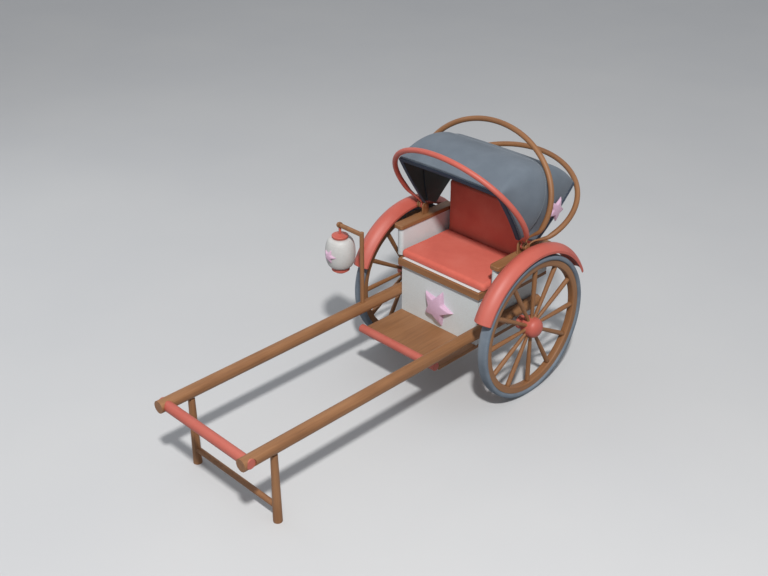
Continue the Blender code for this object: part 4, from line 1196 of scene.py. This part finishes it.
front_seams = [between_rows(front_rows, 1, 0.2), between_rows(front_rows, FRONT_STEPS, 0.1)]
rear_seams = [between_rows(rear_rows, REAR_STEPS, 0.35), between_rows(rear_rows, REAR_STEPS + 2, 0.4)]
front_stitches = seam("canopy_front_stitches", front_seams, thread)
rear_stitches = seam("canopy_rear_stitches", rear_seams, thread)
bend(front_stitches, FRONT_SPAN, "hood_mid", "hood_front")
bend(rear_stitches, REAR_SPAN, "hood_mid", "frame")
print("stitches:", (len(front_stitches.data.polygons) + len(rear_stitches.data.polygons)) // 30)

# %% [markdown]
# ## Cushions
# The seat and back cushions are coral twill over horsehair. A box would look
# like a block of wood, so each cushion starts as a rounded box, is rebuilt in
# small even faces, and is blown up a little by Cloth with inner pressure, with
# each point's move capped. It stays flat where it lies on wood.


# %% Stuff a cushion
SWELL, EVEN_FACE, TIGHT_EDGE = 0.006, 0.0056, 0.004
SETTLE_SHARE = 0.2


def rounded_box(low, high, corner, edge, axis, outward):
    """A block with rounded corners, a full round edge on its outward face and a tight one behind."""
    bm = bmesh.new()
    matrix = Matrix.Translation((low + high) / 2) @ Matrix.Diagonal((*(high - low), 1.0))
    bmesh.ops.create_cube(bm, size=1.0, matrix=matrix)
    face, back = (high[axis], low[axis]) if outward > 0 else (low[axis], high[axis])
    sides = [e for e in bm.edges if abs(e.verts[0].co[axis] - e.verts[1].co[axis]) > 1e-4]
    bmesh.ops.bevel(bm, geom=sides, offset=corner, segments=8, affect="EDGES", profile=0.5)
    for place, width, segments in ((face, edge, 8), (back, TIGHT_EDGE, 2)):
        rim = [e for e in bm.edges if all(abs(v.co[axis] - place) < 1e-5 for v in e.verts)]
        bmesh.ops.bevel(bm, geom=rim, offset=width, segments=segments, affect="EDGES", profile=0.5,
                        clamp_overlap=True)
    return bm


def stuffed(name, low, high, corner, edge, axis, outward):
    """A cushion that fills the box low to high and is fullest on the face that points outward."""
    shrink = Vector((SWELL * SETTLE_SHARE,) * 3)
    item = scratch(rounded_box(low + shrink, high - shrink, corner, edge, axis, outward), name + "_block")
    remesh = item.modifiers.new("even_faces", "REMESH")
    remesh.mode, remesh.voxel_size = "VOXEL", EVEN_FACE
    graph = bpy.context.evaluated_depsgraph_get()
    mesh = bpy.data.meshes.new_from_object(item.evaluated_get(graph))
    drop(item)
    start = [vert.co.copy() for vert in mesh.vertices]
    soft = bpy.data.objects.new(name + "_cloth", mesh)
    bpy.context.scene.collection.objects.link(soft)
    cloth = soft.modifiers.new("stuffing", "CLOTH")
    cloth.settings.use_pressure = True
    cloth.settings.uniform_pressure_force = 4.0
    cloth.settings.effector_weights.gravity = 0.0
    cloth.settings.quality = 5
    cloth.point_cache.frame_start, cloth.point_cache.frame_end = 1, 20
    for number in range(1, 21):
        bpy.context.scene.frame_set(number)
    graph = bpy.context.evaluated_depsgraph_get()
    blown = bpy.data.meshes.new_from_object(soft.evaluated_get(graph))
    moves = [new.co - old for new, old in zip(blown.vertices, start)]
    bpy.context.scene.frame_set(1)
    drop(soft)
    bpy.data.meshes.remove(blown)
    for vert, old, move in zip(mesh.vertices, start, moves):
        if move.length > SWELL:
            move = move.normalized() * SWELL
        spot = old + move
        vert.co = [min(max(spot[i], low[i]), high[i]) for i in range(3)]
    return mesh


def crown(mesh, low, high, face_axis, outward, amount):
    """Push the middle of a broad face out and pull its rim in, as stuffing does."""
    flat_axes = [axis for axis in range(3) if axis != face_axis]
    for vert in mesh.vertices:
        shares = []
        for axis in flat_axes:
            shares.append(2 * (vert.co[axis] - low[axis]) / (high[axis] - low[axis]) - 1)
        dome = (1 - shares[0] ** 4) * (1 - shares[1] ** 4)
        depth = (vert.co[face_axis] - low[face_axis]) / (high[face_axis] - low[face_axis])
        depth = depth if outward > 0 else 1 - depth
        vert.co[face_axis] += outward * amount * (dome - 1) * eased(depth)


def cushion_piece(name, mesh, node):
    mesh.name = name
    mesh.shade_smooth()
    mesh.materials.clear()
    mesh.materials.append(twill)
    piece = carry(bpy.data.objects.new(name, mesh), body_of_node[node], (node,))
    smooth = piece.modifiers.new("soft_surface", "SUBSURF")
    smooth.levels = smooth.render_levels = 1
    return piece


# %% Seat and back cushion
Y_AXIS, Z_AXIS, FILL = 1, 2, 0.9
SEAT_CORNER, SEAT_EDGE, SEAT_CROWN, SEAT_OVERHANG = 0.024, 0.026, 0.0025, 0.007
BACK_CORNER, BACK_EDGE, BACK_CROWN = 0.018, 0.016, 0.004
seat_low, seat_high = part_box("seat_cushion")
seat_low.y -= SEAT_OVERHANG
seat_mesh = stuffed("seat", seat_low, seat_high, SEAT_CORNER, SEAT_EDGE, Z_AXIS, 1)
crown(seat_mesh, seat_low, seat_high, Z_AXIS, 1, SEAT_CROWN)
cushion_piece("seat_cushion_stuffed", seat_mesh, "seat_cushion")
back_low, back_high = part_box("back_cushion")
back_mesh = stuffed("back", back_low, back_high, BACK_CORNER, BACK_EDGE, Y_AXIS, -1)
crown(back_mesh, back_low, back_high, Y_AXIS, -1, BACK_CROWN)
cushion_piece("back_cushion_stuffed", back_mesh, "back_cushion")
print("cushion faces:", len(seat_mesh.polygons), len(back_mesh.polygons))

# %% [markdown]
# ## Lantern
# The lantern's globe is oiled paper on thin split hoops that barely show
# through: a barrel with a very shallow scallop between hoops. The cap is a
# thin turned disc and the foot a turned ring, both with coral paint.

# %% Lantern sizes
GLOBE_RADIUS, GLOBE_NECK, GLOBE_SWELL = 0.0935, 0.054, 0.85
HOOPS, HOOP_DEPTH = 13, 0.0004
CAP_RADIUS, FOOT_RADIUS = 0.052, 0.056
cap_low, cap_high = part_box("lantern_cap")
globe_low, globe_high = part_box("lantern_globe")
foot_low, foot_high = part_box("lantern_foot")
lantern_line = Vector(((globe_low.x + globe_high.x) / 2, (globe_low.y + globe_high.y) / 2, 0.0))


def globe_radius(share):
    """Radius of the globe at a share of its height, from the top down."""
    swell = math.sin(math.pi * min(max(share, 0.0), 1.0)) ** GLOBE_SWELL
    return GLOBE_NECK + (GLOBE_RADIUS - GLOBE_NECK) * swell


def globe_profile():
    points, steps = [], HOOPS * 8
    for step in range(steps + 1):
        share = (1 - math.cos(math.pi * step / steps)) / 2
        turn = math.acos(1 - 2 * share) / math.pi
        scallop = HOOP_DEPTH * (1 - abs(math.cos(math.pi * HOOPS * share)))
        points.append((globe_high.z - (globe_high.z - globe_low.z) * share, globe_radius(turn) - scallop))
    return points


def cap_profile(low, high, radius, shares):
    return [(low + (high - low) * rise, radius * reach) for rise, reach in shares]


CAP_SHARES = [(0.0, 0.90), (0.05, 0.93), (0.12, 0.955), (0.40, 0.985), (0.50, 1.0), (0.60, 1.0), (0.68, 0.97),
              (0.74, 0.86), (0.80, 0.62), (0.86, 0.44), (0.94, 0.37), (1.0, 0.33)]
FOOT_SHARES = [(0.0, 0.58), (0.03, 0.62), (0.20, 0.80), (0.36, 0.95), (0.42, 1.0), (0.68, 1.0), (0.76, 0.98),
               (0.90, 0.93), (1.0, 0.91)]
settle(spin_profile(globe_profile(), lantern_line, "Z", 96), "lantern_paper", oiled_paper, "lantern",
       ("lantern_globe",), 60.0)
for name, node, low, high, radius, shares in (
        ("lantern_lid", "lantern_cap", cap_low.z, cap_high.z, CAP_RADIUS, CAP_SHARES),
        ("lantern_base", "lantern_foot", foot_low.z, foot_high.z, FOOT_RADIUS, FOOT_SHARES)):
    turned = spin_profile(cap_profile(low, high, radius, shares), lantern_line, "Z", 64)
    settle(turned, name, coral_paint, "lantern", (node,))
print("lantern globe", round(globe_high.z - globe_low.z, 3), "m tall")

# %% [markdown]
# ## Stars
# The stars are stuffed felt, each cut as if from a dome: it is fullest in the
# middle, lower towards the tips, and its sides drop steeply all round. It
# could be sculpted, but a formula is exact: rings shrink from the outline to
# the middle, and each point's height is the dome's height there times a
# quarter-round as wide as the edge's own turn. On the globe the star bends
# with the paper, by one over the globe's radius across it. The stars on the
# hood's sides sit just outside the rear sheet.


# %% Sew a star
INNER_SHARE, ARM_STEPS, EDGE_TURN = 0.47, 8, 0.007
RING_SHARES = [0.0, 0.0, 0.006, 0.016, 0.032, 0.055, 0.085, 0.12, 0.17, 0.24, 0.33, 0.44, 0.56, 0.68, 0.80,
               0.91]


def star_outline(radius, turn, inner_share, arm_steps):
    corners = []
    for step in range(10):
        angle, reach = turn + math.pi * step / 5, radius * (1.0 if step % 2 == 0 else inner_share)
        corners.append(Vector((reach * math.cos(angle), reach * math.sin(angle))))
    points = []
    for index in range(10):
        first, second = corners[index], corners[(index + 1) % 10]
        points += [first.lerp(second, step / arm_steps) for step in range(arm_steps)]
    return points


def rim_distance(spot, outline):
    """How far a point inside the outline is from it."""
    least = 1.0
    for first, second in zip(outline, outline[1:] + outline[:1]):
        along = second - first
        share = min(max((spot - first).dot(along) / along.length_squared, 0.0), 1.0)
        least = min(least, (first + along * share - spot).length)
    return least


def felt_star(name, node, centre, right, up, radius, turn, height, body, bend_across=0.0, bend_up=0.0):
    bm = bmesh.new()
    out = right.cross(up)
    outline = star_outline(radius, turn, INNER_SHARE, ARM_STEPS)
    rings = []
    for index, share in enumerate(RING_SHARES):
        ring = []
        for flat in outline:
            spot = flat * (1 - share)
            dome = max(1 - (spot.length / radius) ** 2, 0.0) ** 0.8
            near = min(rim_distance(spot, outline) / EDGE_TURN, 1.0)
            side = math.sqrt(max(1 - (1 - near) ** 2, 0.0))
            rise = 0.0 if index == 0 else height * (0.06 + (0.14 + 0.80 * dome) * side)
            rise -= (bend_across * spot.x ** 2 + bend_up * spot.y ** 2) / 2
            ring.append(bm.verts.new(centre + right * spot.x + up * spot.y + out * rise))
        rings.append(ring)
    for first, second in zip(rings, rings[1:]):
        for step in range(len(outline)):
            after = (step + 1) % len(outline)
            bm.faces.new((first[step], first[after], second[after], second[step]))
    for ring, rise in ((rings[-1], height), (rings[0], 0.0)):
        tip = bm.verts.new(centre + out * rise)
        for step in range(len(outline)):
            bm.faces.new((ring[step], ring[(step + 1) % len(outline)], tip))
    return settle(bm, name, felt, body, (node,), 80.0)


# %% Place the stars
ACROSS, UPWARD = Vector((1, 0, 0)), Vector((0, 0, 1))
BOX_STAR_HEIGHT, HOOD_STAR_HEIGHT, LANTERN_STAR_HEIGHT = 0.042, 0.020, 0.016
HOOD_STAR_RADIUS, LANTERN_STAR_RADIUS = 0.080, 0.050
# back and up from the pin, and half the round patch of cloth that the star covers
HOOD_STAR_BACK, HOOD_STAR_RISE, HOOD_STAR_PATCH = 0.236, 0.168, 0.075
HOOD_STAR_TURN = math.radians(15)
# how deep the globe's star sits in the paper, and how far the hood's stand off the cloth
PAPER_SINK, CLOTH_CLEARANCE = 0.0015, 0.0006
BARREL_SHARE = 0.6
box_low, box_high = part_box("star_box")
box_middle = Vector((middle_x, box_high.y, (box_low.z + box_high.z) / 2))
felt_star("felt_star_box", "star_box", box_middle, ACROSS, UPWARD, box_high.x - middle_x, 0.0,
          BOX_STAR_HEIGHT, "frame")
globe_front = Vector((lantern_line.x, globe_low.y + PAPER_SINK, (globe_low.z + globe_high.z) / 2))
globe_bend = 2 / (globe_high.x - globe_low.x)
felt_star("felt_star_lantern", "star_lantern", globe_front, ACROSS, UPWARD, LANTERN_STAR_RADIUS, 0.0,
          LANTERN_STAR_HEIGHT, "lantern", bend_across=globe_bend, bend_up=globe_bend * BARREL_SHARE)
for side, sign in SIDES:
    spot = Vector((middle_x, hood_pin.y + HOOD_STAR_BACK, hood_pin.z + HOOD_STAR_RISE))
    near = [sign * (point.x - middle_x) for row in rear_rows for point in row
            if sign * (point.x - middle_x) > 0 and (point.yz - spot.yz).length < HOOD_STAR_PATCH]
    spot.x += sign * (max(near) + CLOTH_CLEARANCE)
    turn = -HOOD_STAR_TURN if sign > 0 else math.pi + HOOD_STAR_TURN
    star = felt_star("felt_star_hood_" + side, "star_hood_" + side, spot, Vector((0, sign, 0)), UPWARD,
                     HOOD_STAR_RADIUS, turn, HOOD_STAR_HEIGHT, None)
    bend(star, REAR_SPAN, "hood_mid", "frame")
print("stars on the hood", round(max(near), 3), "m out from the middle")

# %% [markdown]
# ## Floor and sky
# The floor is plain and pale, and the sky is a soft even white. The camera
# and mirrors see both brighter than the light they give, so the background
# stays pale without washing out the vehicle from below.

# %% Floor
FLOOR_HALF, FLOOR_LIT = 30.0, (0.20, 0.20, 0.21, 1.0)
floor_bm = bmesh.new()
bmesh.ops.create_grid(floor_bm, x_segments=1, y_segments=1, size=FLOOR_HALF)
floor = scratch(floor_bm, "floor")
floor_finish = Finish("pale_floor", (0.60, 0.60, 0.60), 0.9)
floor_clouds = floor_finish.noise(floor_finish.place(), 0.6, 3.0)
floor_seen = floor_finish.ramp(floor_clouds, [(0.3, (0.585, 0.588, 0.595)), (0.7, (0.615, 0.615, 0.615))])
floor_rays = floor_finish.node("ShaderNodeLightPath").socket.node
looked_at = (Wire(floor_finish, floor_rays.outputs["Is Camera Ray"])
             + Wire(floor_finish, floor_rays.outputs["Is Glossy Ray"])).held()
floor_finish.feed("Base Color", floor_finish.blend(looked_at, FLOOR_LIT, floor_seen))
floor.data.materials.append(floor_finish.material)
print("floor", 2 * FLOOR_HALF, "m wide")

# %% Sky
SKY_TINT, SKY_STRENGTH = (0.90, 0.94, 1.0, 1.0), 0.37
SHOWN_TINT, SHOWN_STRENGTH = (0.93, 0.94, 0.95, 1.0), 0.85
world = bpy.data.worlds.new("soft_sky")
world.use_nodes = True
bpy.context.scene.world = world
sky = world.node_tree
sky.nodes.clear()
path = sky.nodes.new("ShaderNodeLightPath")
seen = sky.nodes.new("ShaderNodeMath")
seen.operation, seen.use_clamp = "ADD", True
sky.links.new(path.outputs["Is Camera Ray"], seen.inputs[0])
sky.links.new(path.outputs["Is Glossy Ray"], seen.inputs[1])
lit, shown, chosen = (sky.nodes.new(kind) for kind in ("ShaderNodeBackground", "ShaderNodeBackground",
                                                      "ShaderNodeMixShader"))
lit.inputs["Color"].default_value = SKY_TINT
lit.inputs["Strength"].default_value = SKY_STRENGTH
shown.inputs["Color"].default_value = SHOWN_TINT
shown.inputs["Strength"].default_value = SHOWN_STRENGTH
end = sky.nodes.new("ShaderNodeOutputWorld")
sky.links.new(seen.outputs[0], chosen.inputs[0])
sky.links.new(lit.outputs[0], chosen.inputs[1])
sky.links.new(shown.outputs[0], chosen.inputs[2])
sky.links.new(chosen.outputs[0], end.inputs["Surface"])
